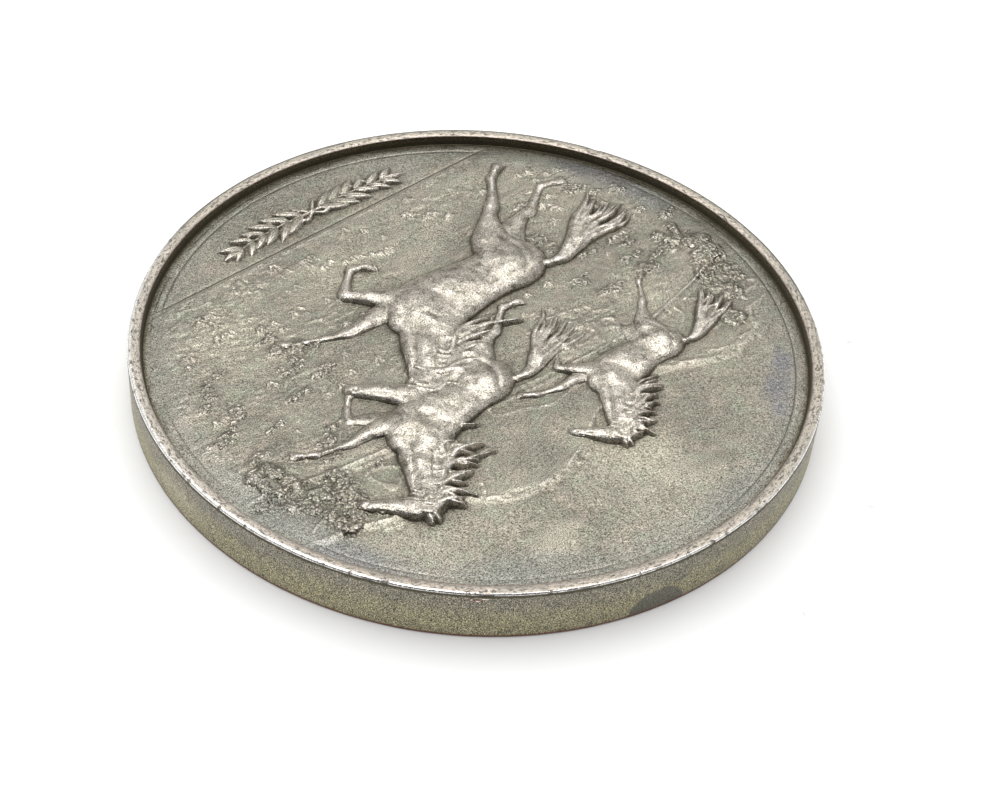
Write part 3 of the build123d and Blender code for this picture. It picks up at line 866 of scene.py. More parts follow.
def laced(inner, outer, angle):
    """Triangles that close the gap between two loops, both in the same turning sense."""
    def from_zero(loop):
        first = min(range(len(loop)), key=lambda k: angle[loop[k]] % (2 * math.pi))
        return loop[first:] + loop[:first]
    a, b = from_zero(inner), from_zero(outer)
    ta = [angle[v] % (2 * math.pi) for v in a] + [2 * math.pi + 1e-6]
    tb = [angle[v] % (2 * math.pi) for v in b] + [2 * math.pi + 1e-6]
    i = j = 0
    faces = []
    while i < len(a) or j < len(b):
        if j >= len(b) or (i < len(a) and ta[i + 1] <= tb[j + 1]):
            faces.append((a[i], b[j % len(b)], a[(i + 1) % len(a)]))
            i += 1
        else:
            faces.append((a[i % len(a)], b[j], b[(j + 1) % len(b)]))
            j += 1
    return faces


def corner_normals(mesh, normals, count, foot):
    """Normals of the face corners: those of the points, but near the face's own on a cliff. Only
    points below the count are on the picture, and the wall's foot is sharp too."""
    corners, sides = len(mesh.loops), len(mesh.polygons)
    point = np.empty(corners, np.int32)
    mesh.loops.foreach_get("vertex_index", point)
    sizes = np.empty(sides, np.int32)
    mesh.polygons.foreach_get("loop_total", sizes)
    face = np.empty(3 * sides, np.float32)
    mesh.polygons.foreach_get("normal", face)
    face = np.repeat(face.reshape(-1, 3), sizes, axis=0)
    corner = normals[point]
    alike = np.sum(corner * face, 1)
    share = np.where(point < count, smooth((0.92 - alike) / 0.22), 0)
    share = np.where(foot[point], smooth((0.995 - alike) / 0.02), share)[:, None]
    corner = corner * (1 - share) + face * share
    return corner / np.linalg.norm(corner, axis=1)[:, None]


# Blank turned from its profile


def joined(tree, value, socket):
    """Links another socket to this one, or sets its value."""
    if isinstance(value, bpy.types.NodeSocket):
        tree.links.new(value, socket)
    else:
        socket.default_value = value


def add(tree, kind, values=None, **settings):
    """New node with its settings, and its sockets set or linked by name or number."""
    node = tree.nodes.new(kind)
    for key, value in settings.items():
        setattr(node, key, value)
    for key, value in (values or {}).items():
        joined(tree, value, node.inputs[key])
    return node


def calc(tree, operation, a, b=0.0, c=0.0, clamp=False):
    """Result of a calculation on values."""
    node = add(tree, "ShaderNodeMath", {0: a, 1: b, 2: c}, operation=operation, use_clamp=clamp)
    return node.outputs[0]


def vector(tree, operation, a, b=None):
    """Result of a vector operation; a length or a dot product is a value."""
    second = "Scale" if operation == "SCALE" else 1
    given = {0: a} if b is None else {0: a, second: b}
    output = "Value" if operation in ("LENGTH", "DOT_PRODUCT") else "Vector"
    return add(tree, "ShaderNodeVectorMath", given, operation=operation).outputs[output]


def rim_profile(sizes):
    """Stations of the blank in millimetres, obverse to reverse: radius, height, how worn."""
    radius = sizes.diameter / 2 / MM
    top = sizes.thickness / MM
    inner = radius - sizes.rim_width / MM
    foot = inner - sizes.wall_run / MM
    field = top - sizes.obverse_depth / MM
    back = sizes.reverse_depth / MM
    return [
        (foot - 0.40, field, 0.0), (foot - 0.06, field, 0.0), (foot - 0.02, field + 0.035, 0.0),
        (foot + 0.01, field + 0.15, 0.1), (foot + 0.05, field + 0.35, 0.1),
        (foot + 0.08, field + 0.53, 0.2), (foot + 0.11, top - 0.17, 0.3),
        (inner - 0.010, top - 0.105, 0.8), (inner + 0.03, top - 0.072, 1.0),
        (inner + 0.11, top - 0.043, 0.8), (inner + 0.23, top - 0.017, 0.5),
        (inner + 0.38, top - 0.002, 0.3), (inner + 0.52, top, 0.3),
        (radius - 0.21, top - 0.002, 0.4), (radius - 0.15, top - 0.010, 0.6),
        (radius - 0.10, top - 0.028, 1.0), (radius - 0.062, top - 0.058, 1.6),
        (radius - 0.034, top - 0.098, 2.0), (radius - 0.014, top - 0.150, 1.8),
        (radius - 0.003, top - 0.22, 1.2), (radius, top - 0.30, 0.6),
        (radius, top - 0.45, 0.3), (radius, top - 0.8, 0.2),
        (radius, top * 0.62, 0.15), (radius, top * 0.4, 0.15), (radius, 0.8, 0.2),
        (radius, 0.24, 0.5), (radius - 0.006, 0.14, 1.0), (radius - 0.03, 0.07, 1.4),
        (radius - 0.08, 0.03, 1.0), (radius - 0.16, 0.006, 0.3), (inner + 0.36, 0.0, 0.0),
        (inner + 0.10, 0.010, 0.2), (inner, 0.05, 0.6), (inner - 0.05, 0.25, 0.2),
        (foot, back - 0.02, 0.0), (foot - 0.15, back, 0.0), (radius * 0.7, back, 0.0),
        (radius * 0.35, back, 0.0), (0.0, back, 0.0),
    ]


def turned_blank_tree():
    """Turns a profile round Z: input is a line of points, radius in X and height in Z."""
    tree = bpy.data.node_groups.new("turned_blank", "GeometryNodeTree")
    face = tree.interface
    face.new_socket("Profile", in_out="INPUT", socket_type="NodeSocketGeometry")
    face.new_socket("Segments", in_out="INPUT", socket_type="NodeSocketInt")
    face.new_socket("Wear", in_out="INPUT", socket_type="NodeSocketFloat")
    face.new_socket("Wear Length", in_out="INPUT", socket_type="NodeSocketFloat")
    face.new_socket("Seed", in_out="INPUT", socket_type="NodeSocketInt")
    face.new_socket("Finish", in_out="INPUT", socket_type="NodeSocketMaterial")
    face.new_socket("Blank", in_out="OUTPUT", socket_type="NodeSocketGeometry")
    given = add(tree, "NodeGroupInput").outputs
    stations = add(tree, "GeometryNodeAttributeDomainSize",
                   {"Geometry": given["Profile"]}).outputs["Point Count"]
    around = calc(tree, "ADD", given["Segments"], 1)
    grid = add(tree, "GeometryNodeMeshGrid",
               {"Size X": 1.0, "Size Y": 1.0, "Vertices X": around, "Vertices Y": stations})
    place = add(tree, "ShaderNodeSeparateXYZ",
                {0: add(tree, "GeometryNodeInputPosition").outputs[0]}).outputs
    turn = calc(tree, "MULTIPLY", calc(tree, "ADD", place["X"], 0.5), 2 * math.pi)
    station = calc(tree, "ROUND", calc(tree, "MULTIPLY", calc(tree, "ADD", place["Y"], 0.5),
                                       calc(tree, "SUBTRACT", stations, 1)))

    def at_station(value):
        return add(tree, "GeometryNodeSampleIndex",
                   {"Geometry": given["Profile"], "Value": value, "Index": station},
                   data_type="FLOAT_VECTOR", domain="POINT").outputs["Value"]

    def swung(spot):
        parts = add(tree, "ShaderNodeSeparateXYZ", {0: spot}).outputs
        height = add(tree, "ShaderNodeCombineXYZ", {"Z": parts["Z"]}).outputs[0]
        return vector(tree, "ADD", vector(tree, "SCALE", ring, parts["X"]), height)

    ring = add(tree, "ShaderNodeCombineXYZ",
               {"X": calc(tree, "COSINE", turn), "Y": calc(tree, "SINE", turn)}).outputs[0]
    spot = swung(at_station(add(tree, "GeometryNodeInputPosition").outputs[0]))
    inward = swung(at_station(add(tree, "GeometryNodeInputNamedAttribute", {"Name": "inward"},
                                  data_type="FLOAT_VECTOR").outputs["Attribute"]))
    noise = add(tree, "ShaderNodeTexNoise",
                {"Vector": spot, "W": given["Seed"], "Detail": 3.0,
                 "Scale": calc(tree, "DIVIDE", 1.0, given["Wear Length"])},
                noise_dimensions="4D").outputs[0]
    depth = calc(tree, "MULTIPLY", given["Wear"], calc(tree, "POWER", noise, 1.6))
    worn = vector(tree, "ADD", spot, vector(tree, "SCALE", inward, depth))
    moved = add(tree, "GeometryNodeSetPosition",
                {"Geometry": grid.outputs["Mesh"], "Position": worn}).outputs[0]
    closed = add(tree, "GeometryNodeMergeByDistance",
                 {"Geometry": moved, "Distance": 0.000002}).outputs[0]
    real = add(tree, "GeometryNodeRealizeInstances", {"Geometry": closed}).outputs[0]
    finished = add(tree, "GeometryNodeSetMaterial",
                   {"Geometry": real, "Material": given["Finish"]}).outputs[0]
    add(tree, "NodeGroupOutput", {"Blank": finished})
    return tree


# Materials


def group_tree(name, inputs, outputs):
    """Shader node group with named sockets; returns it with its inputs and its output node."""
    tree = bpy.data.node_groups.new(name, "ShaderNodeTree")
    for label, kind, value in inputs:
        socket = tree.interface.new_socket(label, in_out="INPUT", socket_type=kind)
        if value is not None:
            socket.default_value = value
    for label, kind in outputs:
        tree.interface.new_socket(label, in_out="OUTPUT", socket_type=kind)
    return tree, add(tree, "NodeGroupInput").outputs, tree.nodes.new("NodeGroupOutput").inputs


def span(tree, value, low, high, to_low=0.0, to_high=1.0):
    """Smooth step of a value between two limits."""
    return add(tree, "ShaderNodeMapRange",
               {"Value": value, "From Min": low, "From Max": high, "To Min": to_low,
                "To Max": to_high}, interpolation_type="SMOOTHSTEP").outputs[0]


def grain_group():
    """Fine uneven surface at two sizes, as a height."""
    tree, given, out = group_tree(
        "Fine Grain",
        [("Vector", "NodeSocketVector", None), ("Size", "NodeSocketFloat", 0.2)],
        [("Height", "NodeSocketFloat"), ("Pits", "NodeSocketFloat")])
    scale = calc(tree, "DIVIDE", 1.0, given["Size"])
    fine = add(tree, "ShaderNodeTexNoise",
               {"Vector": given["Vector"], "Scale": scale, "Detail": 3.0}).outputs[0]
    cells = add(tree, "ShaderNodeTexNoise",
                {"Vector": given["Vector"], "Scale": calc(tree, "MULTIPLY", scale, 0.9),
                 "Detail": 1.0, "Distortion": 0.4}).outputs[0]
    tree.links.new(fine, out["Height"])
    tree.links.new(span(tree, cells, 0.27, 0.20), out["Pits"])
    return tree


def scratch_group():
    """Sparse straight hairlines in one direction, as a mask."""
    tree, given, out = group_tree(
        "Hairlines",
        [("Vector", "NodeSocketVector", None), ("Turn", "NodeSocketFloat", 0.0),
         ("Spacing", "NodeSocketFloat", 0.5)],
        [("Mask", "NodeSocketFloat")])
    spun = add(tree, "ShaderNodeVectorRotate",
               {"Vector": given["Vector"], "Angle": given["Turn"]},
               rotation_type="Z_AXIS").outputs[0]
    drawn = vector(tree, "MULTIPLY", spun, (0.06, 1.6, 0.5))
    noise = add(tree, "ShaderNodeTexNoise",
                {"Vector": drawn, "Scale": calc(tree, "DIVIDE", 1.0, given["Spacing"]),
                 "Detail": 2.0, "Roughness": 0.6}).outputs[0]
    ridge = calc(tree, "ABSOLUTE", calc(tree, "SUBTRACT", noise, 0.5))
    line = span(tree, ridge, 0.012, 0.0)
    rare = add(tree, "ShaderNodeTexNoise",
               {"Vector": spun, "Scale": calc(tree, "DIVIDE", 0.35, given["Spacing"]),
                "Detail": 1.0}).outputs[0]
    tree.links.new(calc(tree, "MULTIPLY", line, span(tree, rare, 0.50, 0.66)), out["Mask"])
    return tree


def patch_group():
    """Ragged soft patch round a place, as a mask."""
    tree, given, out = group_tree(
        "Toning Patch",
        [("Vector", "NodeSocketVector", None), ("Centre", "NodeSocketVector", (0, 0, 0)),
         ("Reach", "NodeSocketVector", (3, 3, 3)), ("Turn", "NodeSocketFloat", 0.0),
         ("Ragged", "NodeSocketFloat", 0.5), ("Noise", "NodeSocketFloat", 0.5),
         ("Soft", "NodeSocketFloat", 0.65)],
        [("Mask", "NodeSocketFloat")])
    local = vector(tree, "SUBTRACT", given["Vector"], given["Centre"])
    local = add(tree, "ShaderNodeVectorRotate", {"Vector": local, "Angle": given["Turn"]},
                rotation_type="Z_AXIS").outputs[0]
    far = vector(tree, "LENGTH", vector(tree, "DIVIDE", local, given["Reach"]))
    edge = calc(tree, "ADD", far, calc(tree, "MULTIPLY",
                                       calc(tree, "SUBTRACT", given["Noise"], 0.5),
                                       calc(tree, "MULTIPLY", given["Ragged"], 2.0)))
    tree.links.new(span(tree, edge, 1.0, calc(tree, "SUBTRACT", 1.0, given["Soft"])), out["Mask"])
    return tree


def use(tree, group, values):
    """Outputs of a group."""
    node = add(tree, "ShaderNodeGroup", node_tree=group)
    for key, value in values.items():
        joined(tree, value, node.inputs[key])
    return node.outputs


def mixed(tree, factor, a, b, blend="MIX"):
    """Colour mix; a and b may be colours or sockets."""
    node = tree.nodes.new("ShaderNodeMix")
    node.data_type = "RGBA"
    node.blend_type = blend
    node.clamp_factor = True
    joined(tree, factor, node.inputs[0])
    for value, socket in ((a, node.inputs[6]), (b, node.inputs[7])):
        joined(tree, value if isinstance(value, bpy.types.NodeSocket) else (*value, 1.0), socket)
    return node.outputs[2]


# Tarnish: colour, angle round the medal in degrees, distance out and height in millimetres, reach
# along and out and up, ragged, soft, strength
Patch = namedtuple("Patch", "colour angle out height along across up ragged soft strength")
FIELD_PATCHES = [
    Patch("straw", 93, 15.2, 3.5, 4.6, 6.5, 9, 0.30, 0.90, 0.55),
    Patch("straw", 62, 20.0, 3.5, 3.0, 2.6, 9, 0.35, 0.90, 0.40),
    Patch("straw", -39, 18.0, 3.5, 5.5, 4.6, 9, 0.35, 0.90, 0.40),
    Patch("straw", -77, 12.9, 3.5, 6.0, 4.0, 9, 0.35, 0.90, 0.40),
    Patch("straw", 165, 14.1, 3.5, 4.2, 3.6, 9, 0.35, 0.90, 0.40),
    Patch("violet", 128, 22.4, 3.5, 5.4, 1.7, 9, 0.50, 0.90, 0.45),
    Patch("violet", 135.5, 22.5, 3.5, 1.9, 1.1, 9, 0.60, 0.80, 0.70),
    Patch("violet", 127.5, 22.0, 3.5, 1.6, 1.5, 9, 0.60, 0.80, 0.70),
    Patch("violet", 121.5, 22.6, 3.5, 1.2, 0.9, 9, 0.60, 0.80, 0.60),
    Patch("cool", 189, 22.6, 3.5, 3.0, 1.6, 9, 0.45, 0.60, 0.80),
    Patch("cool", 207, 23.3, 3.5, 2.6, 1.0, 9, 0.40, 0.60, 0.80),
    Patch("violet", 201, 23.2, 3.5, 6.5, 2.4, 9, 0.40, 0.80, 0.50),
    Patch("violet", 247, 21.0, 3.5, 4.2, 2.6, 9, 0.40, 0.80, 0.25),
    Patch("cool", 97, 23.3, 3.5, 6.5, 1.9, 9, 0.30, 0.80, 0.60),
    Patch("cool", 56, 23.0, 3.5, 7.0, 2.6, 9, 0.35, 0.80, 0.60),
    Patch("cool", 12, 22.8, 3.5, 9.0, 2.6, 9, 0.35, 0.80, 0.75),
    Patch("violet", 28, 23.3, 3.5, 5.0, 1.6, 9, 0.45, 0.80, 0.50),
]
EDGE_PATCHES = [
    Patch("stain_and_shade", 75.6, 25.5, 0.05, 2.25, 2.5, 2.00, 0.14, 0.08, 0.88),
    Patch("stain_and_shade", 79.6, 25.5, 2.20, 1.0, 1.5, 0.16, 0.50, 0.60, 0.85),
    Patch("stain_and_shade", 87.5, 25.5, 0.90, 0.9, 1.5, 0.40, 0.25, 0.40, 0.50),
    Patch("stain_and_shade", 92.3, 25.5, 2.15, 0.8, 1.5, 0.16, 0.30, 0.50, 0.75),
    Patch("stain_and_shade", 57.5, 25.5, 0.80, 0.22, 0.5, 0.20, 0.30, 0.60, 0.80),
    Patch("stain_and_shade", 50.8, 25.5, 0.60, 0.25, 0.5, 0.16, 0.30, 0.60, 0.80),
    Patch("stain_and_shade", 64.4, 25.5, 0.50, 0.30, 0.5, 0.22, 0.30, 0.60, 0.80),
    Patch("stain_and_shade", 49.2, 25.5, 3.72, 0.40, 1.0, 0.16, 0.20, 0.60, 0.80),
    Patch("umber", 47.0, 25.5, 3.72, 0.80, 1.0, 0.17, 0.40, 0.60, 0.60),
    Patch("silver", 48.2, 25.5, 3.84, 0.30, 1.0, 0.08, 0.40, 0.50, 0.90),
    Patch("silver", 47.2, 25.5, 3.62, 0.22, 1.0, 0.07, 0.40, 0.50, 0.80),
    Patch("silver", 46.2, 25.5, 3.74, 0.10, 1.0, 0.06, 0.40, 0.50, 0.70),
    Patch("rim", 75.5, 25.5, 4.05, 1.3, 1.5, 0.30, 0.60, 0.60, 0.55),
    Patch("straw", -6.0, 25.5, 1.90, 4.2, 2.5, 1.70, 0.50, 0.80, 0.30),
    Patch("violet", 8.0, 25.5, 3.30, 6.0, 2.5, 0.90, 0.50, 0.80, 0.18),
]


# Half of the table's side, in metres
TABLE_HALF = 1.5

# Gap between the picture and the turned blank that is laced, in millimetres
LACING_GAP = 0.08

# Length of the uneven wear along the rim, in millimetres
WEAR_LENGTH = 2.5

# Dents of the rim's outer corner: angle round the medal, reach and depth in millimetres
NICKS = [(48.5, 0.30, 0.12), (96.2, 0.30, 0.06), (31.0, 0.35, 0.05), (137.0, 0.35, 0.05),
         (63.0, 0.30, 0.05), (205.0, 0.40, 0.06)]


NEAR_SIDE = (0.707, 0.707, 0.0)
LEFT_SIDE = (0.94, -0.34, 0.0)
# Colour of the painted highlight on the near side of the rim's outer corner
CORNER_HIGHLIGHT = (0.97, 0.95, 0.92)


class SilverCoats:
    """Coats of toned silver, laid one over the other; all lengths are in millimetres."""

    def __init__(self, tree, sizes, colours):
        self.tree, self.colours = tree, colours
        self.patch = patch_group()
        self.radius = sizes.diameter / 2 / MM
        self.top = sizes.thickness / MM
        self.inner = self.radius - sizes.rim_width / MM
        self.field_radius = self.inner - sizes.wall_run / MM
        self.field_height = self.top - sizes.obverse_depth / MM
        place = add(tree, "ShaderNodeTexCoord").outputs["Object"]
        self.mm = add(tree, "ShaderNodeMapping",
                      {"Vector": place, "Scale": (1000, 1000, 1000)}).outputs[0]
        xyz = add(tree, "ShaderNodeSeparateXYZ", {0: self.mm}).outputs
        self.z = xyz["Z"]
        flat = add(tree, "ShaderNodeCombineXYZ", {"X": xyz["X"], "Y": xyz["Y"]}).outputs[0]
        self.far = vector(tree, "LENGTH", flat)
        self.near_side = vector(tree, "DOT_PRODUCT", flat, NEAR_SIDE)
        self.left_side = vector(tree, "DOT_PRODUCT", flat, LEFT_SIDE)
        self.find_noises(flat)
        self.find_masks()

    def find_noises(self, flat):
        """Noises that several coats share."""
        tree = self.tree
        self.broad_noise = self.noise(self.mm, 0.6, 4.0)
        self.middle_noise = self.noise(self.mm, 1.27, 4.0)
        self.small_noise = self.noise(self.mm, 2.86, 4.0)
        # drawn out along the rim: slow round it, quick outward and up
        ring = vector(tree, "MULTIPLY", vector(tree, "NORMALIZE", flat), (10.0, 10.0, 1.0))
        outward = add(tree, "ShaderNodeCombineXYZ",
                      {"Z": calc(tree, "ADD", self.far, self.z)}).outputs[0]
        drawn = vector(tree, "ADD", ring, outward)
        self.streaks = self.noise(drawn, 4.5, 4.0, 0.65)
        self.dashes = self.noise(drawn, 9.0, 3.0, 0.6)
        swirl = add(tree, "ShaderNodeTexNoise", {"Vector": self.mm, "Scale": 1.5})
        bent = vector(tree, "ADD", self.mm, vector(tree, "SCALE", swirl.outputs["Color"], 0.9))
        self.leaf = add(tree, "ShaderNodeTexVoronoi",
                        {"Vector": bent, "Scale": 3.0}).outputs["Distance"]
        self.wrinkles = self.noise(vector(tree, "MULTIPLY", bent, (0.8, 2.4, 1.0)), 1.4, 4.0, 0.6)
        self.cloudy = self.noise(self.mm, 0.17, 4.0)
        self.mottled = self.noise(self.mm, 1.3, 5.0, 0.66)
        self.specks = self.noise(self.mm, 12.0, 2.0, 0.6)
        self.sand = calc(tree, "MULTIPLY_ADD", self.specks, 4.4, -1.20)
        self.tint = self.noise(self.mm, 0.55, 4.0, 0.6)

    def find_masks(self):
        """Where each part of the medal is."""
        top, radius = self.top, self.radius
        self.recess, self.crest = self.attribute("recess"), self.attribute("crest")
        self.figure, self.growth = self.attribute("figure"), self.attribute("growth")
        self.land = self.attribute("land")
        worn = calc(self.tree, "ADD", self.both(self.crest, 0.90), self.both(self.figure, 0.42),
                    clamp=True)
        self.worn = self.both(worn, self.span(self.mottled, 0.70, 0.42, 0.55, 1.0))
        self.on_rim = self.both(self.span(self.z, top - 0.20, top - 0.06),
                                self.span(self.far, self.inner - 0.06, self.inner + 0.02))
        self.on_edge = self.both(self.span(self.far, radius - 0.06, radius - 0.02),
                                 self.span(self.z, top - 0.05, top - 0.13))
        # Mask of the painted highlight on the rim's outer corner: near side only, ragged, reaching
        # further in on the left
        wear = self.both(self.dashes, 0.12)
        more = self.span(self.left_side, 0.30 * radius, 0.85 * radius, 0.0, 0.14)
        ragged = calc(self.tree, "ADD", self.far, calc(self.tree, "ADD", wear, more))
        self.corner_highlight = self.both(
            self.span(self.near_side, -0.55 * radius, -0.10 * radius),
            self.span(ragged, radius - 0.12, radius - 0.05),
            self.span(self.z, top - 0.18, top - 0.12),
            self.span(self.streaks, 0.62, 0.54, 0.0, 1.0))
        grains = use(self.tree, grain_group(), {"Vector": self.mm, "Size": 0.16})
        self.grain, self.pits = grains["Height"], grains["Pits"]

    def attribute(self, name):
        return add(self.tree, "ShaderNodeAttribute", attribute_name=name).outputs["Fac"]

    def noise(self, place, scale, detail=3.0, rough=0.5):
        return add(self.tree, "ShaderNodeTexNoise",
                   {"Vector": place, "Scale": scale, "Detail": detail,
                    "Roughness": rough}).outputs[0]

    def span(self, value, low, high, to_low=0.0, to_high=1.0):
        return span(self.tree, value, low, high, to_low, to_high)

    def both(self, *masks):
        """Product of masks and shares."""
        total = masks[0]
        for mask in masks[1:]:
            total = calc(self.tree, "MULTIPLY", total, mask)
        return total

    def lay(self, base, mask, colour):
        """Base with a colour laid over it where the mask is."""
        return mixed(self.tree, mask, base, colour)

    def sanded(self, base, share=1.0):
        """Base with the fine sandy grain."""
        return mixed(self.tree, share, base, self.sand, "MULTIPLY")

    def patched(self, base, patches):
        """Base with patches of tarnish; larger patches have a broader raggedness."""
        for item in patches:
            turn = math.radians(item.angle)
            centre = (item.out * math.cos(turn), item.out * math.sin(turn), item.height)
            ragged = self.middle_noise if item.along > 1.1 else self.small_noise
            if item.along > 2.5:
                ragged = self.broad_noise
            mask = use(self.tree, self.patch,
                       {"Vector": self.mm, "Centre": centre, "Turn": -turn, "Noise": ragged,
                        "Reach": (item.across, item.along, item.up), "Ragged": item.ragged,
                        "Soft": item.soft})["Mask"]
            base = self.lay(base, self.both(mask, item.strength),
                            getattr(self.colours, item.colour))
        return base

    def field(self):
        """Clouded tarnish of the open field."""
        colours, rim = self.colours, self.field_radius
        base = mixed(self.tree, self.span(self.cloudy, 0.36, 0.66),
                     tuple(0.98 * c for c in colours.field), tuple(0.72 * c for c in colours.field))
        base = self.lay(base, self.span(self.tint, 0.52, 0.66, 0.0, 0.60), colours.moss)
        base = self.lay(base, self.span(self.tint, 0.48, 0.34, 0.0, 0.60), colours.clay)
        base = self.lay(base, self.span(self.far, 0.84 * rim, rim, 0.0, 0.45), colours.cool)
        base = self.patched(base, FIELD_PATCHES)
        return self.lay(base, self.span(self.mottled, 0.46, 0.80, 0.0, 0.30), colours.recess)

    def relief(self, base):
        """Bright wear on crests and figures, light and dark leaves, dark recesses."""
        colours, figure, growth = self.colours, self.figure, self.growth
        base = self.lay(base, self.worn, colours.silver)
        for mask, value, low, high, share, colour in (
                (growth, self.leaf, 0.30, 0.05, 0.45, colours.silver),
                (growth, self.leaf, 0.42, 0.75, 0.60, colours.recess),
                (figure, self.mottled, 0.50, 0.66, 0.45, colours.recess),
                (figure, self.tint, 0.52, 0.64, 0.35, colours.clay)):
            base = self.lay(base, self.both(mask, self.span(value, low, high, 0.0, share)), colour)
        dark = calc(self.tree, "MULTIPLY", self.recess, 0.95, clamp=True)
        return self.sanded(self.lay(base, dark, colours.recess))

    def wall(self, base):
        """Painted shade beside and up the inner wall of the rim, darkest at the wall's foot."""
        at, top, floor = self.field_radius, self.top, self.field_height
        wall_shade = self.sanded(self.colours.wall_shade)
        # painted shade laid in broken patches on the field beside the wall
        patchy_shade = self.both(self.span(self.mottled, 0.30, 0.70, 0.20, 1.0), 0.70)
        base = self.lay(base, self.both(self.span(self.far, at - 0.80, at - 0.05), patchy_shade), wall_shade)
        # painted shade up the inner wall itself
        ragged = calc(self.tree, "ADD", self.far, self.both(self.mottled, 0.40))
        wall = self.both(self.span(ragged, at - 0.12, at + 0.10),
                         self.span(self.z, top - 0.10, top - 0.16))
        base = self.lay(base, self.both(wall, 0.95), wall_shade)
        # painted shade: the dark recess colour laid along the wall's foot
        foot = self.both(self.span(self.far, at - 0.10, at - 0.04),
                         self.span(self.z, floor + 0.50, floor + 0.25))
        return self.lay(base, self.both(foot, 0.80), self.colours.recess)

    def rim(self, base):
        """Top of the rim, streaked along its run and speckled."""
        colours, radius = self.colours, self.radius
        rim = colours.rim
        for value, low, high, share, colour in (
                (self.far, self.inner + 0.16, self.inner + 0.06, 0.80, colours.blush),
                # painted highlight: the left of the rim's top laid lighter with silver
                (self.left_side, 0.55 * radius, 0.95 * radius, 0.45, colours.silver),
                (self.near_side, 0.60 * radius, 0.95 * radius, 0.30, colours.blush),
                (self.streaks, 0.47, 0.62, 0.60, colours.stain_and_shade),
                (self.dashes, 0.54, 0.62, 0.75, colours.stain_and_shade)):
            rim = self.lay(rim, self.span(value, low, high, 0.0, share), colour)
        rim = self.lay(rim, self.both(self.span(self.specks, 0.50, 0.36), 0.60), colours.silver)
        rim = self.lay(rim, self.both(self.span(self.specks, 0.50, 0.66), 0.60), colours.stain_and_shade)
        rim = self.sanded(rim, 0.8)
        rim = self.lay(rim, self.span(self.cloudy, 0.50, 0.72, 0.0, 0.35), colours.cool)
        return self.lay(base, self.on_rim, rim)

    def edge(self, base):
        """The edge: bronze below, stained, with dark lines along its foot and under the rim."""
        colours, top = self.colours, self.top
        low = self.span(calc(self.tree, "ADD", self.z, self.both(self.mottled, 2.4)), 4.6, 2.6)
        edge = mixed(self.tree, low, colours.bronze, colours.edge)
        edge = self.lay(edge, self.span(self.mottled, 0.46, 0.78, 0.0, 0.45), colours.stain_and_shade)
        edge = self.sanded(self.patched(self.sanded(edge), EDGE_PATCHES), 0.5)
        edge = self.lay(edge, self.span(self.z, 0.40, 0.18, 0.0, 0.95), colours.umber)
        ragged = calc(self.tree, "ADD", self.z, self.both(self.streaks, 0.50))
        under = self.both(self.span(ragged, top - 0.18, top - 0.06), 0.95)
        return self.lay(base, self.on_edge, self.lay(edge, under, colours.recess))

    def corner(self, base):
        """Outer corner of the rim: painted shade on the far side, a painted highlight on the near
        one.
        """
        # painted shade: the stain colour laid on the far side of the rim's outer corner
        far_side = self.span(self.near_side, -0.05 * self.radius, -0.35 * self.radius, 0.0, 0.90)
        outer = self.both(self.span(self.far, self.radius - 0.34, self.radius - 0.20),
                          self.span(self.z, self.top - 0.3, self.top - 0.1), far_side)
        base = self.lay(base, outer, self.colours.stain_and_shade)
        # painted highlight along the near side of the outer corner
        return self.lay(base, self.both(self.corner_highlight, 0.90), CORNER_HIGHLIGHT)

    def roughness(self):
        rough = 0.38
        for mask, value in ((self.recess, 0.60), (self.worn, 0.34), (self.on_rim, 0.38),
                            (self.on_edge, 0.50), (self.corner_highlight, 0.25)):
            rough = add(self.tree, "ShaderNodeMix", {0: mask, 2: rough, 3: value}).outputs[0]
        return rough

    def height(self):
        """Grain, pits, hairlines, streaks, leaves and wrinkles as one height."""
        lines = scratch_group()
        hairs = [use(self.tree, lines, {"Vector": self.mm, "Turn": turn, "Spacing": spacing})["Mask"]
                 for turn, spacing in ((0.6, 1.4), (2.1, 1.9))]
        height = calc(self.tree, "SUBTRACT", self.grain, self.pits)
        for operation, change in (
                ("ADD", self.both(self.figure, self.mottled, 2.2)),
                ("SUBTRACT", self.both(calc(self.tree, "MAXIMUM", *hairs), 0.30)),
                ("SUBTRACT", self.both(self.on_rim, self.span(self.streaks, 0.55, 0.72, 0.0, 1.2))),
                ("SUBTRACT", self.both(self.growth, self.leaf, 3.4)),
                ("ADD", self.both(self.land, self.span(self.cloudy, 0.46, 0.62), self.wrinkles,
                                  1.9))):
            height = calc(self.tree, operation, height, change)
        return height


def silver_material(sizes, colours):
    """Old toned silver: worn bright on the crests, dark in the recesses."""
    material = bpy.data.materials.new("toned_silver")
    material.use_nodes = True
    tree = material.node_tree
    tree.nodes.clear()
    coats = SilverCoats(tree, sizes, colours)
    base = coats.wall(coats.relief(coats.field()))
    base = coats.corner(coats.edge(coats.rim(base)))
    base = coats.lay(base, coats.both(coats.pits, 0.60), colours.recess)
    bump = add(tree, "ShaderNodeBump",
               {"Height": coats.height(), "Strength": 0.85, "Distance": 0.00004})
    shader = add(tree, "ShaderNodeBsdfPrincipled",
                 {"Base Color": base, "Metallic": 1.0, "Roughness": coats.roughness(),
                  "Normal": bump.outputs[0]})
    add(tree, "ShaderNodeOutputMaterial", {"Surface": shader.outputs[0]})
    return material


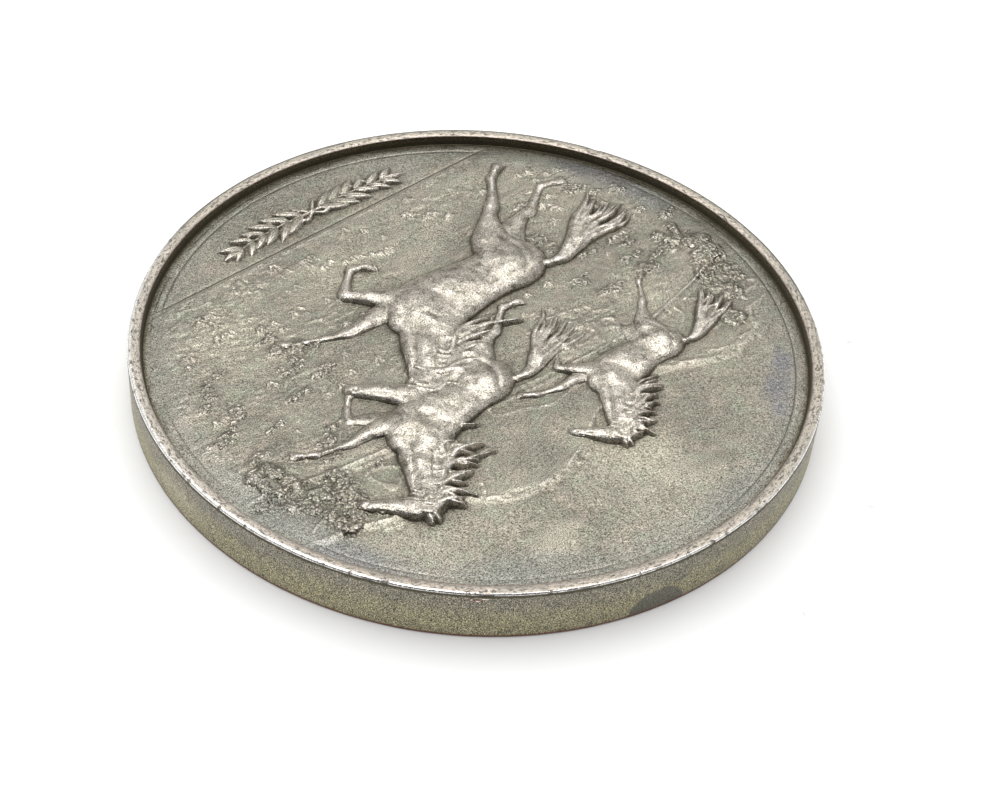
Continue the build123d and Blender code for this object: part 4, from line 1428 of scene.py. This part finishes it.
def floor_material(colours):
    material = bpy.data.materials.new("white_table")
    material.use_nodes = True
    tree = material.node_tree
    tree.nodes.clear()
    place = add(tree, "ShaderNodeTexCoord").outputs["Object"]
    cloudy = add(tree, "ShaderNodeTexNoise", {"Vector": place, "Scale": 60.0, "Detail": 4.0})
    dust = add(tree, "ShaderNodeTexNoise", {"Vector": place, "Scale": 620.0, "Detail": 1.0})
    base = mixed(tree, span(tree, cloudy.outputs[0], 0.40, 0.70), colours.floor,
                 tuple(0.975 * c for c in colours.floor))
    base = mixed(tree, span(tree, dust.outputs[0], 0.215, 0.185, 0.0, 0.35), base,
                 (0.30, 0.29, 0.28))
    shader = add(tree, "ShaderNodeBsdfPrincipled",
                 {"Base Color": base, "Roughness": 0.8, "Specular IOR Level": 0.15})
    add(tree, "ShaderNodeOutputMaterial", {"Surface": shader.outputs[0]})
    return material


# Steps of the operators


def profile_mesh(stations):
    """Line of points along the profile, each with its direction into the metal."""
    points = np.array([(far * MM, 0, height * MM) for far, height, _ in stations])
    mesh = plain_mesh("blank_profile", points, [])
    mesh.edges.add(len(points) - 1)
    mesh.edges.foreach_set("vertices", [v for k in range(len(points) - 1) for v in (k, k + 1)])
    run = np.gradient(points[:, [0, 2]], axis=0)
    run /= np.linalg.norm(run, axis=1)[:, None]
    worn = np.array([wear for _, _, wear in stations])
    inward = np.stack([run[:, 1] * worn, 0 * worn, -run[:, 0] * worn], 1)
    layer = mesh.attributes.new("inward", "FLOAT_VECTOR", "POINT")
    layer.data.foreach_set("vector", inward.ravel())
    return mesh


def corners_of(mesh):
    """Places of a mesh's vertices."""
    places = np.empty(3 * len(mesh.vertices), np.float32)
    mesh.vertices.foreach_get("co", places)
    return places.reshape(-1, 3).astype(float)


def dent(points, seam, top):
    """Presses the dents into the rim's outer corner."""
    far = np.hypot(points[:, 0], points[:, 1])
    turn = np.arctan2(points[:, 1], points[:, 0])
    inward = np.stack([np.cos(turn), np.sin(turn), np.ones_like(turn)], 1)
    for at, reach, deep in NICKS:
        away = (np.degrees(turn) - at + 180) % 360 - 180
        hit = deep * np.exp(-(np.radians(away) * far / reach) ** 2)
        hit *= np.exp(-((top - points[:, 2]) / 0.16) ** 2)
        hit *= smooth((far - seam - 0.8) / 0.5)
        points -= 0.7 * hit[:, None] * inward


def struck_shell(picture, faces, turned_part, blank_mesh, seam, field):
    """Mesh of the picture and the blank, laced together along their seam."""
    start = len(picture)
    points = np.vstack([picture, turned_part])
    angle = np.arctan2(points[:, 1], points[:, 0])
    far = np.hypot(turned_part[:, 0], turned_part[:, 1])
    ring = start + np.where((np.abs(far - seam) < 0.01) & (turned_part[:, 2] > field - 0.05))[0]
    ring = ring[np.argsort(angle[ring] % (2 * math.pi))]
    loop = rim_of(faces)
    if (angle[loop[1]] - angle[loop[0]] + math.pi) % (2 * math.pi) < math.pi:
        loop.reverse()
    all_faces = [tuple(face) for face in faces.tolist()]
    all_faces += laced(loop, [int(k) for k in ring], angle)
    all_faces += [tuple(start + v for v in face.vertices) for face in blank_mesh.polygons]
    return plain_mesh("medal", points * MM, all_faces)


def lay_masks(mesh, sheet, flat, masks, turned_part, sizes):
    """Stores the masks, with a line of painted shade at the wall's foot and a bright one on the
    corner.
    """
    seam, field, _ = rim_profile(sizes)[0]
    far, height = np.hypot(turned_part[:, 0], turned_part[:, 1]), turned_part[:, 2]
    # painted shade: a dark band at the wall's foot, added to the recess mask
    foot_shade = 0.80 * np.exp(-((far - seam - 0.44) / 0.07) ** 2
                              - ((height - field - 0.20) / 0.25) ** 2)
    edge_bright = np.exp(-((far - sizes.diameter / 2 / MM) / 0.10) ** 2
                         - ((height - sizes.thickness / MM) / 0.12) ** 2)
    on_blank = {"recess": foot_shade, "crest": edge_bright}
    for name, mask in masks.items():
        values = np.concatenate([sheet.at(mask, flat[:, 0], flat[:, 1]),
                                 on_blank.get(name, np.zeros(len(turned_part)))])
        layer = mesh.attributes.new(name, "FLOAT", "POINT")
        layer.data.foreach_set("value", values.astype(np.float32))


def shade_picture(mesh, sheet, flat, slopes, turned_part, seam, field):
    """Gives the picture the normals of its full map, and keeps the wall's foot sharp."""
    start = len(flat)
    normals = np.empty(3 * len(mesh.vertices), np.float32)
    mesh.vertices.foreach_get("normal", normals)
    normals = normals.reshape(-1, 3)
    for axis, slope in enumerate(slopes):
        normals[:start, axis] = -sheet.at(slope, flat[:, 0], flat[:, 1])
    normals[:start, 2] = 1
    normals /= np.linalg.norm(normals, axis=1)[:, None]
    far = np.hypot(turned_part[:, 0], turned_part[:, 1])
    at_foot = np.zeros(len(mesh.vertices), bool)
    at_foot[start:] = (far < seam + 0.46) & (turned_part[:, 2] > field - 0.05)
    mesh.normals_split_custom_set(corner_normals(mesh, normals, start, at_foot).tolist())


def turn_outward(mesh):
    """Turns all faces outward and makes sure that the shell is closed."""
    shell = bmesh.new()
    shell.from_mesh(mesh)
    bmesh.ops.recalc_face_normals(shell, faces=shell.faces)
    open_edges = sum(1 for edge in shell.edges if not edge.is_manifold)
    if open_edges:
        raise RuntimeError(f"{open_edges} open edges in the medal")
    shell.to_mesh(mesh)
    shell.free()


def aimed_camera(scene, stage):
    """Camera at its place; returns its backward and rightward directions."""
    eye, aim = Vector(stage.camera_place), Vector(stage.camera_aim)
    back = (eye - aim).normalized()
    right = Vector((0, 0, 1)).cross(back).normalized()
    up = back.cross(right)
    c, s = math.cos(stage.camera_roll), math.sin(stage.camera_roll)
    right, up = c * right + s * up, -s * right + c * up
    data = bpy.data.cameras.new("camera")
    data.sensor_width = 36.0
    data.lens = stage.lens / MM
    data.clip_start, data.clip_end = 0.005, 10.0
    camera = bpy.data.objects.new("camera", data)
    scene.collection.objects.link(camera)
    turn = Matrix((right, up, back)).transposed()
    camera.matrix_world = Matrix.Translation(eye) @ turn.to_4x4()
    scene.camera = camera
    return back, right


def soft_surround(scene, stage, back, right):
    """Even daylight, and what the silver mirrors: pale all round, dark in front, bright above."""
    front = Vector((back.x, back.y, 0)).normalized()
    side = Vector((right.x, right.y, 0)).normalized()
    world = bpy.data.worlds.new("surround")
    scene.world = world
    world.use_nodes = True
    tree = world.node_tree
    tree.nodes.clear()
    where = add(tree, "ShaderNodeTexCoord").outputs["Generated"]
    to_front = vector(tree, "DOT_PRODUCT", where, tuple(front))
    up_there = add(tree, "ShaderNodeSeparateXYZ", {0: where}).outputs["Z"]
    lean = stage.daylight * (stage.lean[1] * front - stage.lean[0] * side)
    daylight = calc(tree, "ADD", vector(tree, "DOT_PRODUCT", where, tuple(lean)), stage.daylight)
    mirrored = calc(tree, "ADD", stage.surround,
                    span(tree, up_there, 0.70, 0.975, 0.0, stage.ceiling))
    mirrored = calc(tree, "ADD", mirrored, span(tree, to_front, -0.45, -0.95, 0.0, 0.22))
    mirrored = calc(tree, "MULTIPLY", mirrored,
                    span(tree, to_front, 0.18, 0.62, 1.0, 1.0 - stage.shade))
    mirrored = calc(tree, "MULTIPLY", mirrored, span(tree, up_there, 0.0, 0.40, 0.30, 1.0))
    glossy = add(tree, "ShaderNodeLightPath").outputs["Is Glossy Ray"]
    strength = add(tree, "ShaderNodeMix", {0: glossy, 2: daylight, 3: mirrored}).outputs[0]
    background = add(tree, "ShaderNodeBackground",
                     {"Color": (1.0, 1.0, 1.0, 1.0), "Strength": strength})
    add(tree, "ShaderNodeOutputWorld", {"Surface": background.outputs[0]})


# Operators


class MEDAL_OT_turn_blank(bpy.types.Operator):
    """Turn the rim, the edge and the reverse field from their profile"""
    bl_idname = "medal.turn_blank"
    bl_label = "Turn the blank"

    def execute(self, context):
        sizes = context.scene.medal_sizes
        mesh = profile_mesh(rim_profile(sizes))
        blank = bpy.data.objects.new("blank", mesh)
        context.scene.collection.objects.link(blank)
        tree = turned_blank_tree()
        turning = blank.modifiers.new("turned", "NODES")
        turning.node_group = tree
        values = {"Segments": sizes.segments, "Wear": sizes.edge_wear,
                  "Wear Length": WEAR_LENGTH * MM, "Seed": sizes.seed,
                  "Finish": silver_material(sizes, context.scene.medal_colours)}
        for item in tree.interface.items_tree:
            if item.in_out == "INPUT" and item.name in values:
                turning[item.identifier] = values[item.name]
        graph = context.evaluated_depsgraph_get()
        made = bpy.data.meshes.new_from_object(blank.evaluated_get(graph))
        if len(made.polygons) < sizes.segments:
            raise RuntimeError("the blank has no faces")
        blank.modifiers.remove(turning)
        blank.data = made
        bpy.data.meshes.remove(mesh)
        return {"FINISHED"}


class MEDAL_OT_strike_obverse(bpy.types.Operator):
    """Strike the picture into the obverse and join it to the blank"""
    bl_idname = "medal.strike_obverse"
    bl_label = "Strike the obverse"

    def execute(self, context):
        sizes = context.scene.medal_sizes
        sheet, masks, slopes = carve_picture(sizes)
        seam = rim_profile(sizes)[0][0]
        field = (sizes.thickness - sizes.obverse_depth) / MM
        guide = sheet.h * 1.5 + 0.25 * masks["recess"] - 0.12 * masks["crest"]
        flat, faces = thinned_disc(sheet, guide, seam - LACING_GAP, sizes.picture_triangles)
        picture = np.column_stack([flat, sheet.at(sheet.h, flat[:, 0], flat[:, 1]) + field])
        blank = bpy.data.objects["blank"]
        turned_part = corners_of(blank.data) / MM
        dent(turned_part, seam, sizes.thickness / MM)
        mesh = struck_shell(picture, faces, turned_part, blank.data, seam, field)
        medal = bpy.data.objects.new("struck_medal", mesh)
        context.scene.collection.objects.link(medal)
        bpy.data.objects.remove(blank)
        turn_outward(mesh)
        mesh.shade_smooth()
        lay_masks(mesh, sheet, flat, masks, turned_part, sizes)
        shade_picture(mesh, sheet, flat, slopes, turned_part, seam, field)
        mesh.materials.append(bpy.data.materials["toned_silver"])
        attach(medal, "root")
        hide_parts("medal")
        return {"FINISHED"}


class MEDAL_OT_lay_stage(bpy.types.Operator):
    """Lay the pale table and set the soft lights and the camera"""
    bl_idname = "medal.lay_stage"
    bl_label = "Lay the stage"

    def execute(self, context):
        stage = context.scene.medal_stage
        scene = context.scene
        half = TABLE_HALF
        points = np.array([(-half, -half, 0), (half, -half, 0), (half, half, 0), (-half, half, 0)])
        floor = bpy.data.objects.new("table", plain_mesh("table", points, [(0, 1, 2, 3)]))
        scene.collection.objects.link(floor)
        floor.data.materials.append(floor_material(stage))
        soft_surround(scene, stage, *aimed_camera(scene, stage))
        scene.view_settings.view_transform = "Standard"
        scene.view_settings.look = "None"
        scene.view_settings.exposure = 0.0
        return {"FINISHED"}


class MEDAL_PT_panel(bpy.types.Panel):
    """Sizes, colours and steps of the medal"""
    bl_idname = "MEDAL_PT_panel"
    bl_label = "Struck Medal"
    bl_space_type = "VIEW_3D"
    bl_region_type = "UI"
    bl_category = "Medal"

    def draw(self, context):
        layout = self.layout
        for label, group in (("Sizes", context.scene.medal_sizes),
                             ("Colours", context.scene.medal_colours),
                             ("Stage", context.scene.medal_stage)):
            box = layout.box()
            box.label(text=label)
            for name in group.bl_rna.properties.keys():
                if name not in ("rna_type", "name"):
                    box.prop(group, name)
        for operator in OPERATORS:
            layout.operator(operator.bl_idname)


OPERATORS = (MEDAL_OT_turn_blank, MEDAL_OT_strike_obverse, MEDAL_OT_lay_stage)
CLASSES = (MedalSizes, MedalColours, StageSettings, *OPERATORS, MEDAL_PT_panel)


def register():
    for item in CLASSES:
        bpy.utils.register_class(item)
    bpy.types.Scene.medal_sizes = bpy.props.PointerProperty(type=MedalSizes)
    bpy.types.Scene.medal_colours = bpy.props.PointerProperty(type=MedalColours)
    bpy.types.Scene.medal_stage = bpy.props.PointerProperty(type=StageSettings)


def unregister():
    del bpy.types.Scene.medal_stage
    del bpy.types.Scene.medal_colours
    del bpy.types.Scene.medal_sizes
    for item in reversed(CLASSES):
        bpy.utils.unregister_class(item)


def main():
    register()
    bpy.ops.medal.turn_blank()
    bpy.ops.medal.strike_obverse()
    bpy.ops.medal.lay_stage()


if __name__ == "__main__":
    main()
